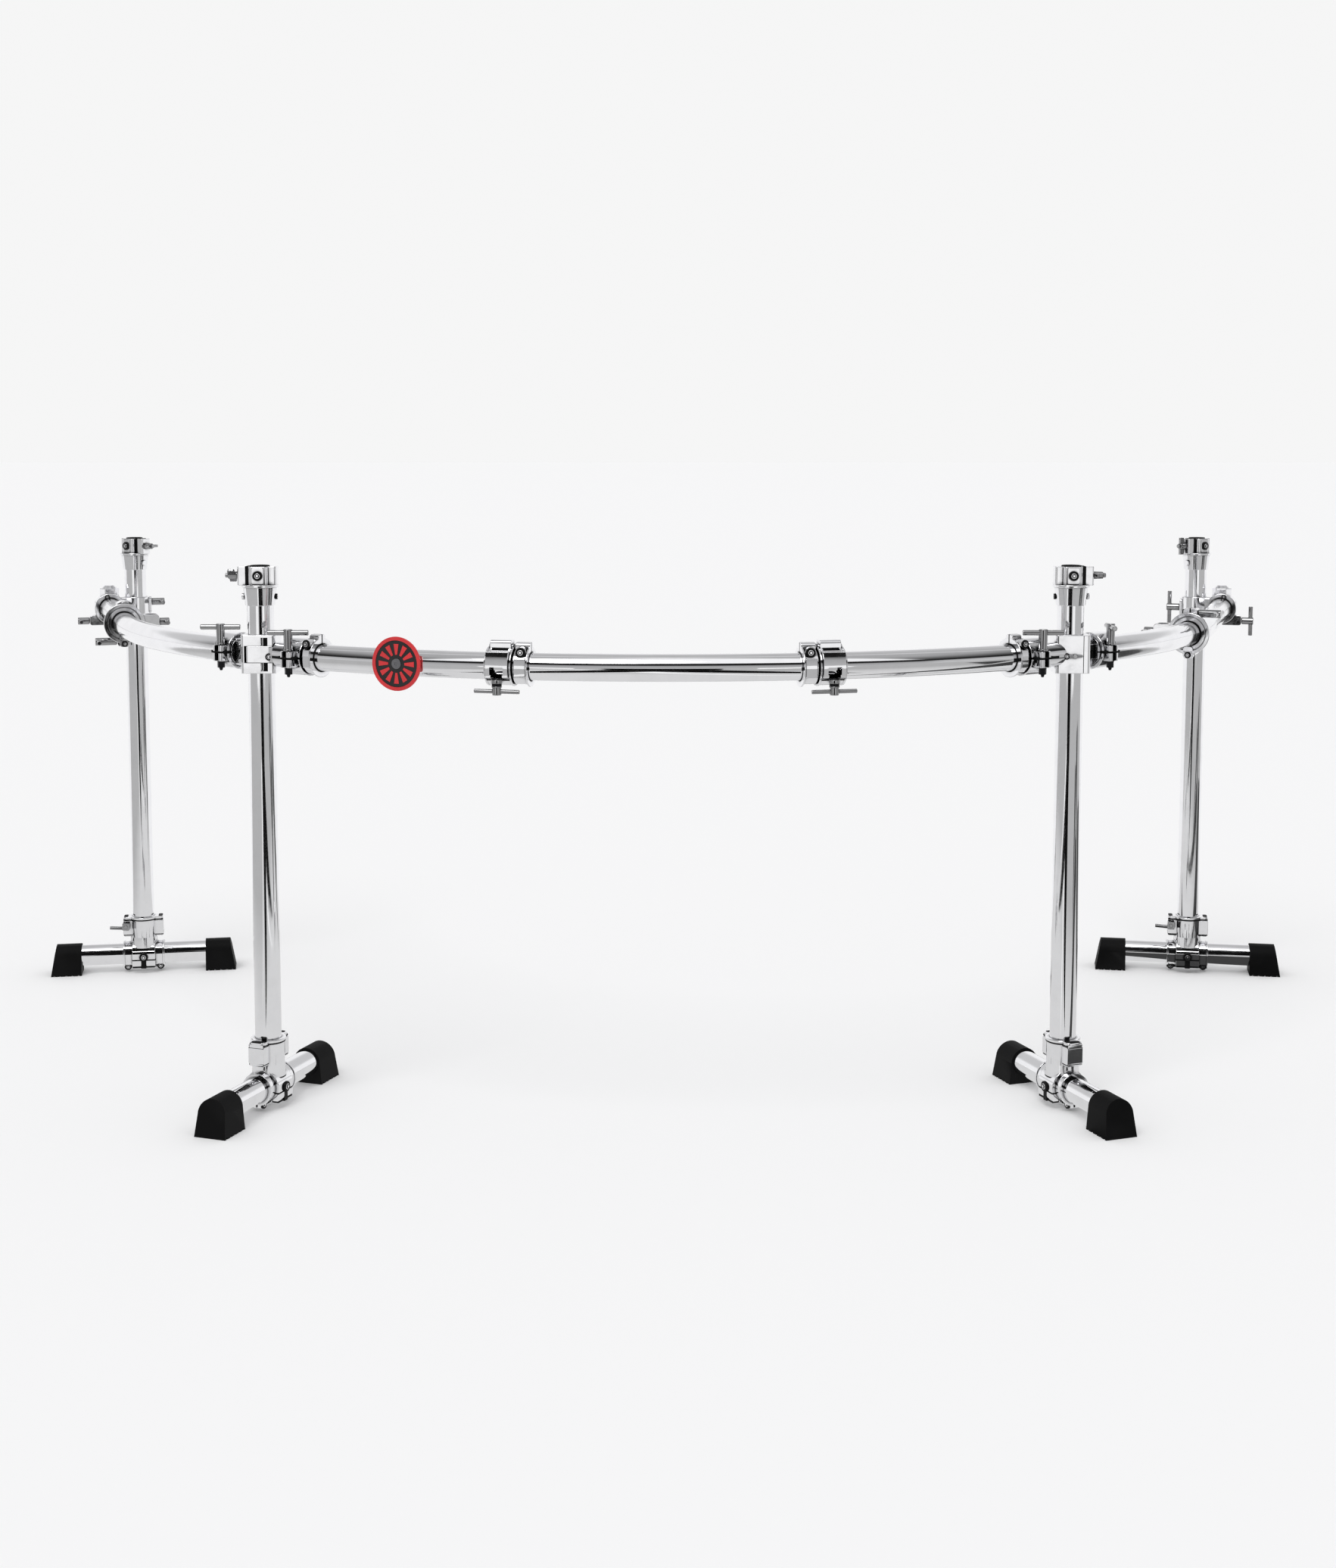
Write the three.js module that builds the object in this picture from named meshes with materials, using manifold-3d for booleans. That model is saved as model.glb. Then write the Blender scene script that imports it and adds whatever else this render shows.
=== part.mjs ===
import * as THREE from 'three';
import { mergeVertices } from 'three/addons/utils/BufferGeometryUtils.js';
import Module from 'manifold-3d';

const wasm = await Module();
wasm.setup();

// Plan of the rack, in millimetres and degrees
const front_post_spacing = 1165;
const rail_radius = 957;
const rail_drop = 95;
const wing_start_angle = 39;
const wing_bend_angle = 32.5;
const rear_clamp_along = 896.5;
const rear_clamp_offset = 46;
const wing_tail = 45;
const front_foot_angle = 70;
const rear_foot_angle = 10;

// Tubes
const tube_diameter = 38.1;
const tube_wall = 1.8;
const post_bottom = 58.5;
const post_top = 763.5;
const socket_diameter = 25.4;

// Gaps between pieces that touch, the overrun of cuts, and how round things are drawn
const gap = 0.3;
const rail_gap = 0.5;
const overrun = 2;
const round_sides = 12;
const rail_sides = 12;
const small_sides = 8;
const corner_segments = 2;
const dome_segments = 5;
const front_rail_steps = 22;
const wing_rail_steps = 21;

// Clamp rings round the rails, and the split lug that the T bolt closes
const ring_radius = 27;
const ring_split = 2.4;
const lug_length = 20;
const lug_top = 9.7;
const lug_bottom = 13;
const lug_edge = 8;
const bolt_offset = 27;
const seat_margin = 1.2;

// T-handle bolts
const bolt_radius = 4;
const bolt_tip = 27;
const barrel_radius = 6.5;
const barrel_top = 41;
const cross_radius = 3.5;
const cross_length = 58;
const cross_drop = 5;
const nut_radius = 6.8;

// Corner clamps at the front posts
const block_width = 51;
const block_height = 55;
const block_corner = 14;
const band_height = 24;
const band_round = 22.6;
const neck_width = 28;
const neck_height = 40;
const main_ring_start = 66;
const main_ring_end = 100;
const main_bolt_along = 86;
const wing_ring_start = 42;
const wing_ring_end = 76;
const wing_bolt_along = 57;
const wall_open_from = 113;
const wall_open_to = 280;

// Right-angle clamps at the rear posts
const rear_collar_radius = 24.5;
const rear_collar_height = 40;
const rear_ring_length = 34;
const rear_lug_reach = 27;
const rear_lug_height = 30;
const rear_bolt_start = 21.6;
const rear_barrel_length = 23;
const rear_ring_radius = 25;
const rear_hinge_rise = 40;
const rear_hinge_width = 26;
const rear_bolt_rises = { left: 10, right: 0 };

// Clamps and lock rings on the rails
const accessory_angle = 13.4;
const accessory_length = 38;
const hinge_rise = 36;
const hinge_width = 18;
const hinge_length = 24;
const lock_length = 21;
const lock_radius = 24.5;
const lock_gap = 1;
const lock_lug_width = 15;
const lock_lug_height = 33;
const wing_clamp_alongs = { left: 592, right: 400 };
const wing_clamp_flips = { left: 1, right: -1 };
const wing_clamp_drop = 31;
const wing_clamp_barrel = 46;
const holder_reach = 58;
const holder_size = 26;
const holder_bore = 19;
const holder_bolt_start = 12;

// Post-top sockets
const sleeve_drop = 26;
const sleeve_bottom_radius = 21;
const sleeve_top_radius = 24;
const flange_radius = 26;
const flange_thickness = 4;
const collar_height = 26;
const collar_inner_reach = 25;
const collar_outer_reach = 31.2;
const collar_depth = 36;
const ear_depth = 20;
const split_start = 13.9;
const split_width = 5.5;
const bush_radius = 14.5;
const bush_rise = 1.5;
const wing_hub_radius = 5.5;
const wing_hub_length = 14;
const wing_span = 29;
const wing_width = 10;
const wing_thickness = 4;
const wing_stub = 4;
const wing_turns = { front_left: 35, front_right: 0, rear_left: 0, rear_right: 90 };
const wing_bolt_rise = 17;
const front_socket_turn = 0;
const rear_socket_turn = 35;

// Leg castings and their levers
const foot_tube_height = 32.5;
const foot_tube_length = 300;
const leg_sleeve_radius = 23.5;
const leg_top = 102.5;
const leg_rim = 4;
const leg_rim_radius = 25.5;
const ear_reach = 36;
const ear_thickness = 23;
const ear_bottom = 66.5;
const saddle_radius = 27;
const saddle_length = 41;
const side_collar_radius = 22.8;
const side_collar_reach = 36.5;
const leg_lug_width = 13;
const leg_lug_bottom = 5.5;
const leg_split = 3;
const lever_along = 30.5;
const lever_height = 87;
const lever_nut = 13;
const lever_nut_depth = 13;
const lever_rod_radius = 3.2;
const lever_rod_length = 28;
const lever_rod_offset = 3;
const lever_shaft_length = 9;
const lever_shaft_radius = 3.5;
const rear_lever_rise = 4;
const front_lever_rise = 80;

// Rubber feet
const foot_dome_radius = 22;
const foot_bottom_width = 50;
const foot_top_length = 44;
const foot_end_wall = 4.5;
const foot_flare = 10;
const foot_rib_count = 5;
const foot_rib_depth = 3;
const foot_rib_share = 0.3;

// Badge on the front rail
const badge_radius = 37.5;
const badge_thickness = 3;
const badge_angle = 22.2;
const badge_seat_width = 14;
const badge_seat_length = 40;
const badge_seat_steps = 2;

// Places worked out from the plan
const tube_radius = tube_diameter / 2;
const rail_height = post_top - rail_drop;
const sleeve_bottom = post_top - sleeve_drop;
const wing_bolt_height = post_top + wing_bolt_rise;
const front_post_x = front_post_spacing / 2;
const front_turn = Math.asin(front_post_x / rail_radius);
const front_bow = rail_radius * (1 - Math.cos(front_turn));
const wing_start = THREE.MathUtils.degToRad(wing_start_angle);
const wing_bend_length = rail_radius * THREE.MathUtils.degToRad(wing_bend_angle);
const wing_end_turn = THREE.MathUtils.degToRad(wing_bend_angle);
const wing_rail_end = rear_clamp_along + wing_tail;
const up = new THREE.Vector3(0, 0, 1);

// Finishes
const finishes = {
  chrome: { color: 0xc9cbce, roughness: 0.12, metalness: 1 },
  bright_chrome: { color: 0xdedfe4, roughness: 0.16, metalness: 1 },
  cast_chrome: { color: 0xd4d5d8, roughness: 0.2, metalness: 1 },
  black_plastic: { color: 0x121214, roughness: 0.45, metalness: 0 },
  rubber: { color: 0x161616, roughness: 0.7, metalness: 0 },
  badge_red: { color: 0xb01c22, roughness: 0.3, metalness: 0 },
};

// A level run that bends to one side at the rail radius and goes straight past its bend
class RailCurve extends THREE.Curve {
  constructor(side, start, end, bend_length) {
    super();
    this.side = side;
    this.start = start;
    this.end = end;
    this.bend_length = bend_length;
  }

  getPoint(t, target = new THREE.Vector3()) {
    const along = THREE.MathUtils.lerp(this.start, this.end, t);
    const bent = Math.min(along, this.bend_length);
    const turn = bent / rail_radius;
    const rest = along - bent;
    const x = rail_radius * Math.sin(turn) + rest * Math.cos(turn);
    const y = rail_radius * (1 - Math.cos(turn)) + rest * Math.sin(turn);
    return target.set(x, this.side * y, 0);
  }
}

// Turns a closed geometry into a solid for joining and cutting
function to_solid(geometry) {
  const bare = geometry.index ? geometry.toNonIndexed() : geometry.clone();
  bare.deleteAttribute('normal');
  bare.deleteAttribute('uv');
  const merged = mergeVertices(bare, gap / 1000);
  return new wasm.Manifold(new wasm.Mesh({
    numProp: 3,
    vertProperties: merged.attributes.position.array,
    triVerts: new Uint32Array(merged.index.array),
  }));
}

// Turns a solid back into a geometry
function to_geometry(solid) {
  const mesh = solid.getMesh();
  const geometry = new THREE.BufferGeometry();
  geometry.setAttribute('position', new THREE.BufferAttribute(mesh.vertProperties, 3));
  geometry.setIndex(new THREE.BufferAttribute(mesh.triVerts, 1));
  geometry.computeVertexNormals();
  return geometry;
}

// A box between two corners
function block(from, to) {
  const size = new THREE.Vector3().subVectors(to, from);
  const middle = new THREE.Vector3().addVectors(from, to).multiplyScalar(0.5);
  const geometry = new THREE.BoxGeometry(size.x, size.y, size.z);
  geometry.translate(middle.x, middle.y, middle.z);
  return to_solid(geometry);
}

// A round bar between two points, of one or two radii
function bar(from, to, radius, end_radius = radius, sides = round_sides) {
  const run = new THREE.Vector3().subVectors(to, from);
  const geometry = new THREE.CylinderGeometry(end_radius, radius, run.length(), sides);
  const y_axis = new THREE.Vector3(0, 1, 0);
  const turn = new THREE.Quaternion().setFromUnitVectors(y_axis, run.clone().normalize());
  const middle = new THREE.Vector3().addVectors(from, to).multiplyScalar(0.5);
  geometry.applyQuaternion(turn);
  geometry.translate(middle.x, middle.y, middle.z);
  return to_solid(geometry);
}

// A shorthand for a point
function at(x, y, z) {
  return new THREE.Vector3(x, y, z);
}

// The radius of a many-sided hole whose flats clear a round bar by the gap
function hole_radius(radius, sides = round_sides) {
  return (radius + gap) / Math.cos(Math.PI / sides);
}

// A round section swept along a curve, hollow where an inner radius is given
function swept(curve, radius, steps = 1, inner_radius = 0) {
  const section = new THREE.Shape();
  section.absarc(0, 0, radius, 0, 2 * Math.PI);
  if (inner_radius > 0) {
    const hole = new THREE.Path();
    hole.absarc(0, 0, inner_radius, 0, 2 * Math.PI, true);
    section.holes.push(hole);
  }
  return new THREE.ExtrudeGeometry(section, {
    steps: steps,
    curveSegments: rail_sides / 2,
    extrudePath: curve,
  });
}

// A straight upright tube
function upright_tube(bottom, top, radius, wall) {
  const profile = [
    new THREE.Vector2(radius - wall, bottom),
    new THREE.Vector2(radius, bottom),
    new THREE.Vector2(radius, top),
    new THREE.Vector2(radius - wall, top),
    new THREE.Vector2(radius - wall, bottom),
  ];
  const geometry = new THREE.LatheGeometry(profile, round_sides);
  geometry.rotateX(Math.PI / 2);
  return geometry;
}

// An outline extruded upward from one height to another
function prism(shape, bottom, top) {
  const geometry = new THREE.ExtrudeGeometry(shape, {
    depth: top - bottom,
    bevelEnabled: false,
    curveSegments: corner_segments,
  });
  geometry.translate(0, 0, bottom);
  return to_solid(geometry);
}

// A square outline with rounded corners
function rounded_square(width, corner) {
  const half = width / 2;
  const inner = half - corner;
  const shape = new THREE.Shape();
  shape.absarc(inner, inner, corner, 0, Math.PI / 2);
  shape.absarc(-inner, inner, corner, Math.PI / 2, Math.PI);
  shape.absarc(-inner, -inner, corner, Math.PI, 1.5 * Math.PI);
  shape.absarc(inner, -inner, corner, 1.5 * Math.PI, 2 * Math.PI);
  return shape;
}

// Joins a list of solids into one
function joined(solids) {
  return solids.reduce((whole, solid) => whole.add(solid));
}

// Cuts a list of solids from one
function cut(whole, cutters) {
  return cutters.reduce((rest, cutter) => rest.subtract(cutter), whole);
}

// A split clamp ring on a rail, with the lug for its T bolt on the outer side of the bend
function rail_ring({ side, from, to, bolt_along, bolt_up, bend_length, blind }) {
  const outward = -side;
  const ring = to_solid(swept(new RailCurve(side, from, to, bend_length), ring_radius));
  const lug_out = outward * (bolt_offset + lug_edge);
  const lug_y = [Math.min(0, lug_out), Math.max(0, lug_out)];
  const lug_z = [-lug_bottom, lug_top];
  const low = bolt_up > 0 ? lug_z[0] : -lug_z[1];
  const high = bolt_up > 0 ? lug_z[1] : -lug_z[0];
  const half = lug_length / 2;
  const lug = block(at(bolt_along - half, lug_y[0], low), at(bolt_along + half, lug_y[1], high));
  const start = blind ? from : from - overrun;
  const bore_curve = new RailCurve(side, start, to + overrun, bend_length);
  const bore = to_solid(swept(bore_curve, tube_radius + rail_gap));
  const split_out = outward * (bolt_offset + lug_edge + overrun);
  const split_y = [Math.min(0, split_out), Math.max(0, split_out)];
  const split = block(
    at(start, split_y[0], -ring_split / 2),
    at(to + overrun, split_y[1], ring_split / 2),
  );
  const hole = bar(
    at(bolt_along, outward * bolt_offset, -lug_bottom - overrun),
    at(bolt_along, outward * bolt_offset, lug_bottom + overrun),
    hole_radius(bolt_radius, small_sides),
    hole_radius(bolt_radius, small_sides),
    small_sides,
  );
  const seats = [lug_top, -lug_bottom].map((face) => bar(
    at(bolt_along, outward * bolt_offset, bolt_up * face),
    at(bolt_along, outward * bolt_offset, bolt_up * Math.sign(face) * block_height),
    barrel_radius + seat_margin,
  ));
  return { body: joined([ring, lug]), cutters: [bore, split, hole, ...seats] };
}

// A T-handle bolt standing on its lug: shaft and nut below, barrel and cross rod above
function t_handle_solid() {
  const barrel_start = lug_top + gap;
  const nut_top = -lug_bottom - gap;
  const shaft = bar(at(0, 0, -bolt_tip), at(0, 0, barrel_start), bolt_radius, bolt_radius, small_sides);
  const nut = bar(at(0, 0, -bolt_tip + overrun), at(0, 0, nut_top), nut_radius, nut_radius, small_sides);
  const cross_height = barrel_top - cross_drop;
  const barrel = bar(
    at(0, 0, barrel_start),
    at(0, 0, barrel_top),
    barrel_radius,
    barrel_radius,
    small_sides,
  );
  const cross = bar(
    at(0, -cross_length / 2, cross_height),
    at(0, cross_length / 2, cross_height),
    cross_radius,
    cross_radius,
    small_sides,
  );
  return joined([shaft, nut, barrel, cross]);
}

// The half of a corner clamp that ends in a fork above and below the band
function fork_casting(side, square_turn, walled) {
  const half = block_height / 2;
  const ring = rail_ring({
    side: side,
    from: walled ? main_ring_start : wing_ring_start,
    to: walled ? main_ring_end : wing_ring_end,
    bolt_along: walled ? main_bolt_along : wing_bolt_along,
    bolt_up: 1,
    bend_length: rail_radius,
    blind: true,
  });
  const square = prism(rounded_square(block_width, block_corner), -half, half);
  const turned = square.rotate([0, 0, THREE.MathUtils.radToDeg(square_turn)]);
  const ring_start = walled ? main_ring_start : wing_ring_start;
  const neck = block(
    at(0, -neck_width / 2, -neck_height / 2),
    at(ring_start, neck_width / 2, neck_height / 2),
  );
  const slot_half = band_height / 2 + gap;
  const swing = walled ? band_round + gap : swing_radius() + gap;
  const slot = bar(at(0, 0, -slot_half), at(0, 0, slot_half), hole_radius(swing));
  const cutters = [slot, post_hole(-half - overrun, half + overrun)];
  if (walled) {
    cutters.push(sector(side, slot_half));
  }
  return cut(joined([turned, neck, ring.body]), [...cutters, ...ring.cutters]);
}

// The half of a corner clamp whose band turns between the two plates of the fork
function band_casting(side, square_turn, round) {
  const half = band_height / 2;
  const start = round ? wing_ring_start : main_ring_start;
  const ring = rail_ring({
    side: side,
    from: start,
    to: round ? wing_ring_end : main_ring_end,
    bolt_along: round ? wing_bolt_along : main_bolt_along,
    bolt_up: 1,
    bend_length: rail_radius,
    blind: true,
  });
  const hub = round
    ? bar(at(0, 0, -half), at(0, 0, half), band_round)
    : prism(rounded_square(block_width, block_corner), -half, half)
      .rotate([0, 0, THREE.MathUtils.radToDeg(square_turn)]);
  const tongue = block(at(0, -half, -half), at(start, half, half));
  const neck_start = block_diagonal() + gap;
  const neck = block(
    at(neck_start, -neck_width / 2, -neck_height / 2),
    at(start + overrun, neck_width / 2, neck_height / 2),
  );
  const solids = [hub, tongue, ring.body];
  if (neck_start < start) {
    solids.push(neck);
  }
  const clear = bar(at(0, 0, half), at(0, 0, block_height), block_diagonal() + gap);
  const clear_below = bar(at(0, 0, -block_height), at(0, 0, -half), block_diagonal() + gap);
  const cutters = [clear, clear_below, post_hole(-half - overrun, half + overrun)];
  return cut(joined(solids), [...cutters, ...ring.cutters]);
}

// How far the corner of the square block reaches from the post's axis
function block_diagonal() {
  return (block_width / 2 - block_corner) * Math.SQRT2 + block_corner;
}

// How far the square band reaches as it turns
function swing_radius() {
  return block_diagonal() / Math.cos(Math.PI / round_sides);
}

// The hole for a post
function post_hole(bottom, top) {
  return bar(at(0, 0, bottom), at(0, 0, top), hole_radius(tube_radius));
}

// The opening in the walled fork through which the arm of the band swings
function sector(side, half) {
  const from = THREE.MathUtils.degToRad(wall_open_from);
  const to = THREE.MathUtils.degToRad(wall_open_to);
  const shape = new THREE.Shape();
  shape.moveTo(0, 0);
  shape.absarc(0, 0, block_width, -side * from, -side * to, side > 0);
  shape.closePath();
  return prism(shape, -half, half);
}

// The right-angle clamp of a rear post, with its post collar at the origin and its rail ring beside it
function rear_casting(hand, bolt_rise) {
  const half = rear_collar_height / 2;
  const collar = bar(at(0, 0, -half), at(0, 0, half), rear_collar_radius);
  const ring_half = rear_ring_length / 2;
  const rail_y = -hand * rear_clamp_offset;
  const ring = bar(at(-ring_half, rail_y, 0), at(ring_half, rail_y, 0), rear_ring_radius);
  const neck_y = [Math.min(0, rail_y), Math.max(0, rail_y)];
  const neck = block(at(-ring_half, neck_y[0], -half), at(ring_half, neck_y[1], half));
  const lug_y = hand * rear_lug_reach;
  const lug = block(
    at(-lug_length / 2, Math.min(0, lug_y), bolt_rise / 2 - rear_lug_height / 2),
    at(lug_length / 2, Math.max(0, lug_y), bolt_rise / 2 + rear_lug_height / 2),
  );
  const hinge = block(
    at(-hinge_length / 2, rail_y - rear_hinge_width / 2, 0),
    at(hinge_length / 2, rail_y + rear_hinge_width / 2, rear_hinge_rise),
  );
  const rail_curve = new THREE.LineCurve3(
    at(-ring_half - overrun, rail_y, 0),
    at(ring_half + overrun, rail_y, 0),
  );
  const rail_bore = to_solid(swept(rail_curve, tube_radius + rail_gap));
  const bolt_hole = bar(
    at(0, hand * rear_bolt_start, bolt_rise),
    at(0, hand * (rear_lug_reach + overrun), bolt_rise),
    hole_radius(bolt_radius, small_sides),
    hole_radius(bolt_radius, small_sides),
    small_sides,
  );
  const split_y = -hand * (rear_clamp_offset + ring_radius + overrun);
  const split = block(
    at(-ring_half - overrun, Math.min(rail_y, split_y), -ring_split / 2),
    at(ring_half + overrun, Math.max(rail_y, split_y), ring_split / 2),
  );
  const cutters = [post_hole(-half - overrun, half + overrun), rail_bore, bolt_hole, split];
  return cut(joined([collar, ring, neck, lug, hinge]), cutters);
}

// The T-handle bolt of a rear post collar, pointing along its own Z
function rear_handle_solid() {
  const tip = rear_bolt_start + gap;
  const face = rear_lug_reach + gap;
  const end = face + rear_barrel_length;
  const shaft = bar(at(0, 0, tip), at(0, 0, face), bolt_radius, bolt_radius, small_sides);
  const barrel = bar(at(0, 0, face), at(0, 0, end), barrel_radius, barrel_radius, small_sides);
  const cross = bar(
    at(0, -cross_length / 2, end - cross_drop),
    at(0, cross_length / 2, end - cross_drop),
    cross_radius,
    cross_radius,
    small_sides,
  );
  return joined([shaft, barrel, cross]);
}

// A split clamp on the front rail, with its T bolt hanging below
function front_clamp_solid() {
  const half = accessory_length / 2;
  const ring = rail_ring({
    side: 1,
    from: -half,
    to: half,
    bolt_along: 0,
    bolt_up: -1,
    bend_length: rail_radius,
    blind: false,
  });
  const hinge = block(
    at(-hinge_length / 2, -hinge_width / 2, 0),
    at(hinge_length / 2, hinge_width / 2, hinge_rise),
  );
  return cut(joined([ring.body, hinge]), ring.cutters);
}

// A lock ring on the front rail, with a lug for its key bolt above
function lock_ring_solid() {
  const half = lock_length / 2;
  const body = to_solid(swept(new RailCurve(1, -half, half, rail_radius), lock_radius));
  const lug = block(at(-half, -lock_lug_width / 2, 0), at(half, lock_lug_width / 2, lock_lug_height));
  const bore_curve = new RailCurve(1, -half - overrun, half + overrun, rail_radius);
  const bore = to_solid(swept(bore_curve, tube_radius + rail_gap));
  const split = block(
    at(-half - overrun, -ring_split / 2, 0),
    at(half + overrun, ring_split / 2, lock_lug_height + overrun),
  );
  return cut(joined([body, lug]), [bore, split]);
}

// A clamp on a wing rail with an arm holder toward the drummer and two fixed T bolts
function wing_clamp_solid(hand, flip) {
  const half = accessory_length / 2;
  const inward = hand;
  const curve = new THREE.LineCurve3(at(-half, 0, 0), at(half, 0, 0));
  const ring = to_solid(swept(curve, ring_radius));
  const holder = block(
    at(-holder_size / 2, Math.min(0, inward * holder_reach), -holder_size / 2),
    at(holder_size / 2, Math.max(0, inward * holder_reach), holder_size / 2),
  );
  const holder_y = inward * (holder_reach - holder_size / 2);
  const holder_hole = bar(
    at(0, holder_y, -holder_size),
    at(0, holder_y, holder_size),
    holder_bore / 2,
  );
  const end = holder_reach + holder_bolt_start;
  const stem = bar(
    at(0, inward * (holder_reach - overrun), 0),
    at(0, inward * (end + cross_drop), 0),
    barrel_radius,
    barrel_radius,
    small_sides,
  );
  const cross = bar(
    at(-cross_length / 2, inward * end, 0),
    at(cross_length / 2, inward * end, 0),
    cross_radius,
    cross_radius,
    small_sides,
  );
  const lug_end = -flip * (wing_clamp_drop + lug_edge);
  const lug = block(
    at(-lug_length / 2, -lug_top, Math.min(0, lug_end)),
    at(lug_length / 2, lug_top, Math.max(0, lug_end)),
  );
  const hinge_end = flip * hinge_rise;
  const hinge = block(
    at(-lug_length / 2, -lug_top, Math.min(0, hinge_end)),
    at(lug_length / 2, lug_top, Math.max(0, hinge_end)),
  );
  const bolt_z = -flip * wing_clamp_drop;
  const outer_bolt = bar(
    at(0, 0, bolt_z),
    at(0, -inward * wing_clamp_barrel, bolt_z),
    barrel_radius,
    barrel_radius,
    small_sides,
  );
  const outer_cross_y = -inward * (wing_clamp_barrel - cross_drop);
  const outer_cross = bar(
    at(-cross_length / 2, outer_cross_y, bolt_z),
    at(cross_length / 2, outer_cross_y, bolt_z),
    cross_radius,
    cross_radius,
    small_sides,
  );
  const bore_curve = new THREE.LineCurve3(at(-half - overrun, 0, 0), at(half + overrun, 0, 0));
  const bore = to_solid(swept(bore_curve, tube_radius + rail_gap));
  const split_z = [-flip * tube_radius / 2, lug_end - flip * overrun];
  const split = block(
    at(-half - overrun, -ring_split / 2, Math.min(...split_z)),
    at(half + overrun, ring_split / 2, Math.max(...split_z)),
  );
  const body = cut(joined([ring, lug, hinge, holder]), [bore, split, holder_hole]);
  return joined([body, stem, cross, outer_bolt, outer_cross]).subtract(bore);
}

// The casting on top of a post: tapered sleeve, flange, split collar and lug toward one side
function socket_casting(side) {
  const sleeve = bar(
    at(0, 0, sleeve_bottom),
    at(0, 0, post_top),
    sleeve_bottom_radius,
    sleeve_top_radius,
  );
  const flange_top = post_top + flange_thickness;
  const flange = bar(at(0, 0, post_top), at(0, 0, flange_top), flange_radius);
  const top = flange_top + collar_height;
  const reach = [side * -collar_inner_reach, side * collar_outer_reach];
  const collar = block(
    at(-split_start, -collar_depth / 2, flange_top),
    at(split_start, collar_depth / 2, top),
  );
  const ears = block(
    at(Math.min(...reach), -ear_depth / 2, flange_top),
    at(Math.max(...reach), ear_depth / 2, top),
  );
  const split_x = [side * split_start, side * (split_start + split_width)];
  const split = block(
    at(Math.min(...split_x), -ear_depth / 2 - overrun, flange_top),
    at(Math.max(...split_x), ear_depth / 2 + overrun, top + overrun),
  );
  const bush_hole = bar(at(0, 0, post_top), at(0, 0, top + overrun), hole_radius(bush_radius));
  const post_cut = post_hole(sleeve_bottom - overrun, post_top - flange_thickness + gap);
  const throat = bar(
    at(0, 0, sleeve_bottom - overrun),
    at(0, 0, top),
    socket_diameter / 2 + gap,
  );
  const bolt_hole = bar(
    at(side * (split_start + split_width), 0, wing_bolt_height),
    at(side * (collar_outer_reach + overrun), 0, wing_bolt_height),
    hole_radius(bolt_radius, small_sides),
    hole_radius(bolt_radius, small_sides),
    small_sides,
  );
  return cut(joined([sleeve, flange, collar, ears]), [split, bush_hole, post_cut, throat, bolt_hole]);
}

// The black bushing in the collar, with the plate that fills the collar's split
function bushing(side) {
  const bottom = post_top + gap;
  const top = post_top + flange_thickness + collar_height + bush_rise;
  const body = bar(at(0, 0, bottom), at(0, 0, top), bush_radius);
  const plate_x = [side * (split_start + gap), side * (split_start + split_width - gap)];
  const plate = block(
    at(Math.min(...plate_x), -ear_depth / 2, post_top + flange_thickness + gap),
    at(Math.max(...plate_x), ear_depth / 2, top - bush_rise),
  );
  const bore = bar(at(0, 0, bottom - overrun), at(0, 0, top + overrun), socket_diameter / 2 + gap);
  return joined([body, plate]).subtract(bore);
}

// The wing bolt of a post-top socket, pointing along its own Z from the post's axis
function wing_bolt_solid() {
  const tip = split_start + split_width + gap;
  const face = collar_outer_reach + gap;
  const hub_end = face + wing_hub_length;
  const shaft = bar(at(0, 0, tip), at(0, 0, face), bolt_radius, bolt_radius, small_sides);
  const hub = bar(at(0, 0, face), at(0, 0, hub_end), wing_hub_radius, wing_hub_radius, small_sides);
  const stub = bar(at(0, 0, hub_end), at(0, 0, hub_end + wing_stub), bolt_radius, bolt_radius, small_sides);
  const wings = block(
    at(-wing_thickness / 2, -wing_span / 2, hub_end - wing_width),
    at(wing_thickness / 2, wing_span / 2, hub_end),
  );
  return joined([shaft, hub, stub, wings]);
}

// The casting that joins a post to its foot tube
function leg_casting() {
  const foot_axis = foot_tube_height;
  const sleeve = bar(at(0, 0, foot_axis), at(0, 0, leg_top), leg_sleeve_radius);
  const rim = bar(at(0, 0, leg_top - leg_rim), at(0, 0, leg_top), leg_rim_radius);
  const ears = block(
    at(-ear_reach, -ear_thickness / 2, ear_bottom),
    at(ear_reach, ear_thickness / 2, leg_top - leg_rim),
  );
  const saddle = bar(
    at(-saddle_length / 2, 0, foot_axis),
    at(saddle_length / 2, 0, foot_axis),
    saddle_radius,
  );
  const collars = bar(
    at(-side_collar_reach, 0, foot_axis),
    at(side_collar_reach, 0, foot_axis),
    side_collar_radius,
  );
  const lugs = block(
    at(-side_collar_reach, -leg_lug_width / 2, leg_lug_bottom),
    at(side_collar_reach, leg_lug_width / 2, foot_axis),
  );
  const post_cut = post_hole(post_bottom - gap, leg_top + overrun);
  const foot_cut = bar(
    at(-side_collar_reach - overrun, 0, foot_axis),
    at(side_collar_reach + overrun, 0, foot_axis),
    hole_radius(tube_radius),
  );
  const split = block(
    at(-side_collar_reach - overrun, -leg_split / 2, 0),
    at(side_collar_reach + overrun, leg_split / 2, foot_axis),
  );
  const lever_holes = [-lever_along, lever_along].map((x) => bar(
    at(x, -ear_thickness, lever_height),
    at(x, ear_thickness, lever_height),
    hole_radius(lever_shaft_radius, small_sides),
    hole_radius(lever_shaft_radius, small_sides),
    small_sides,
  ));
  const cutters = [post_cut, foot_cut, split, ...lever_holes];
  return cut(joined([sleeve, rim, ears, saddle, collars, lugs]), cutters);
}

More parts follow.
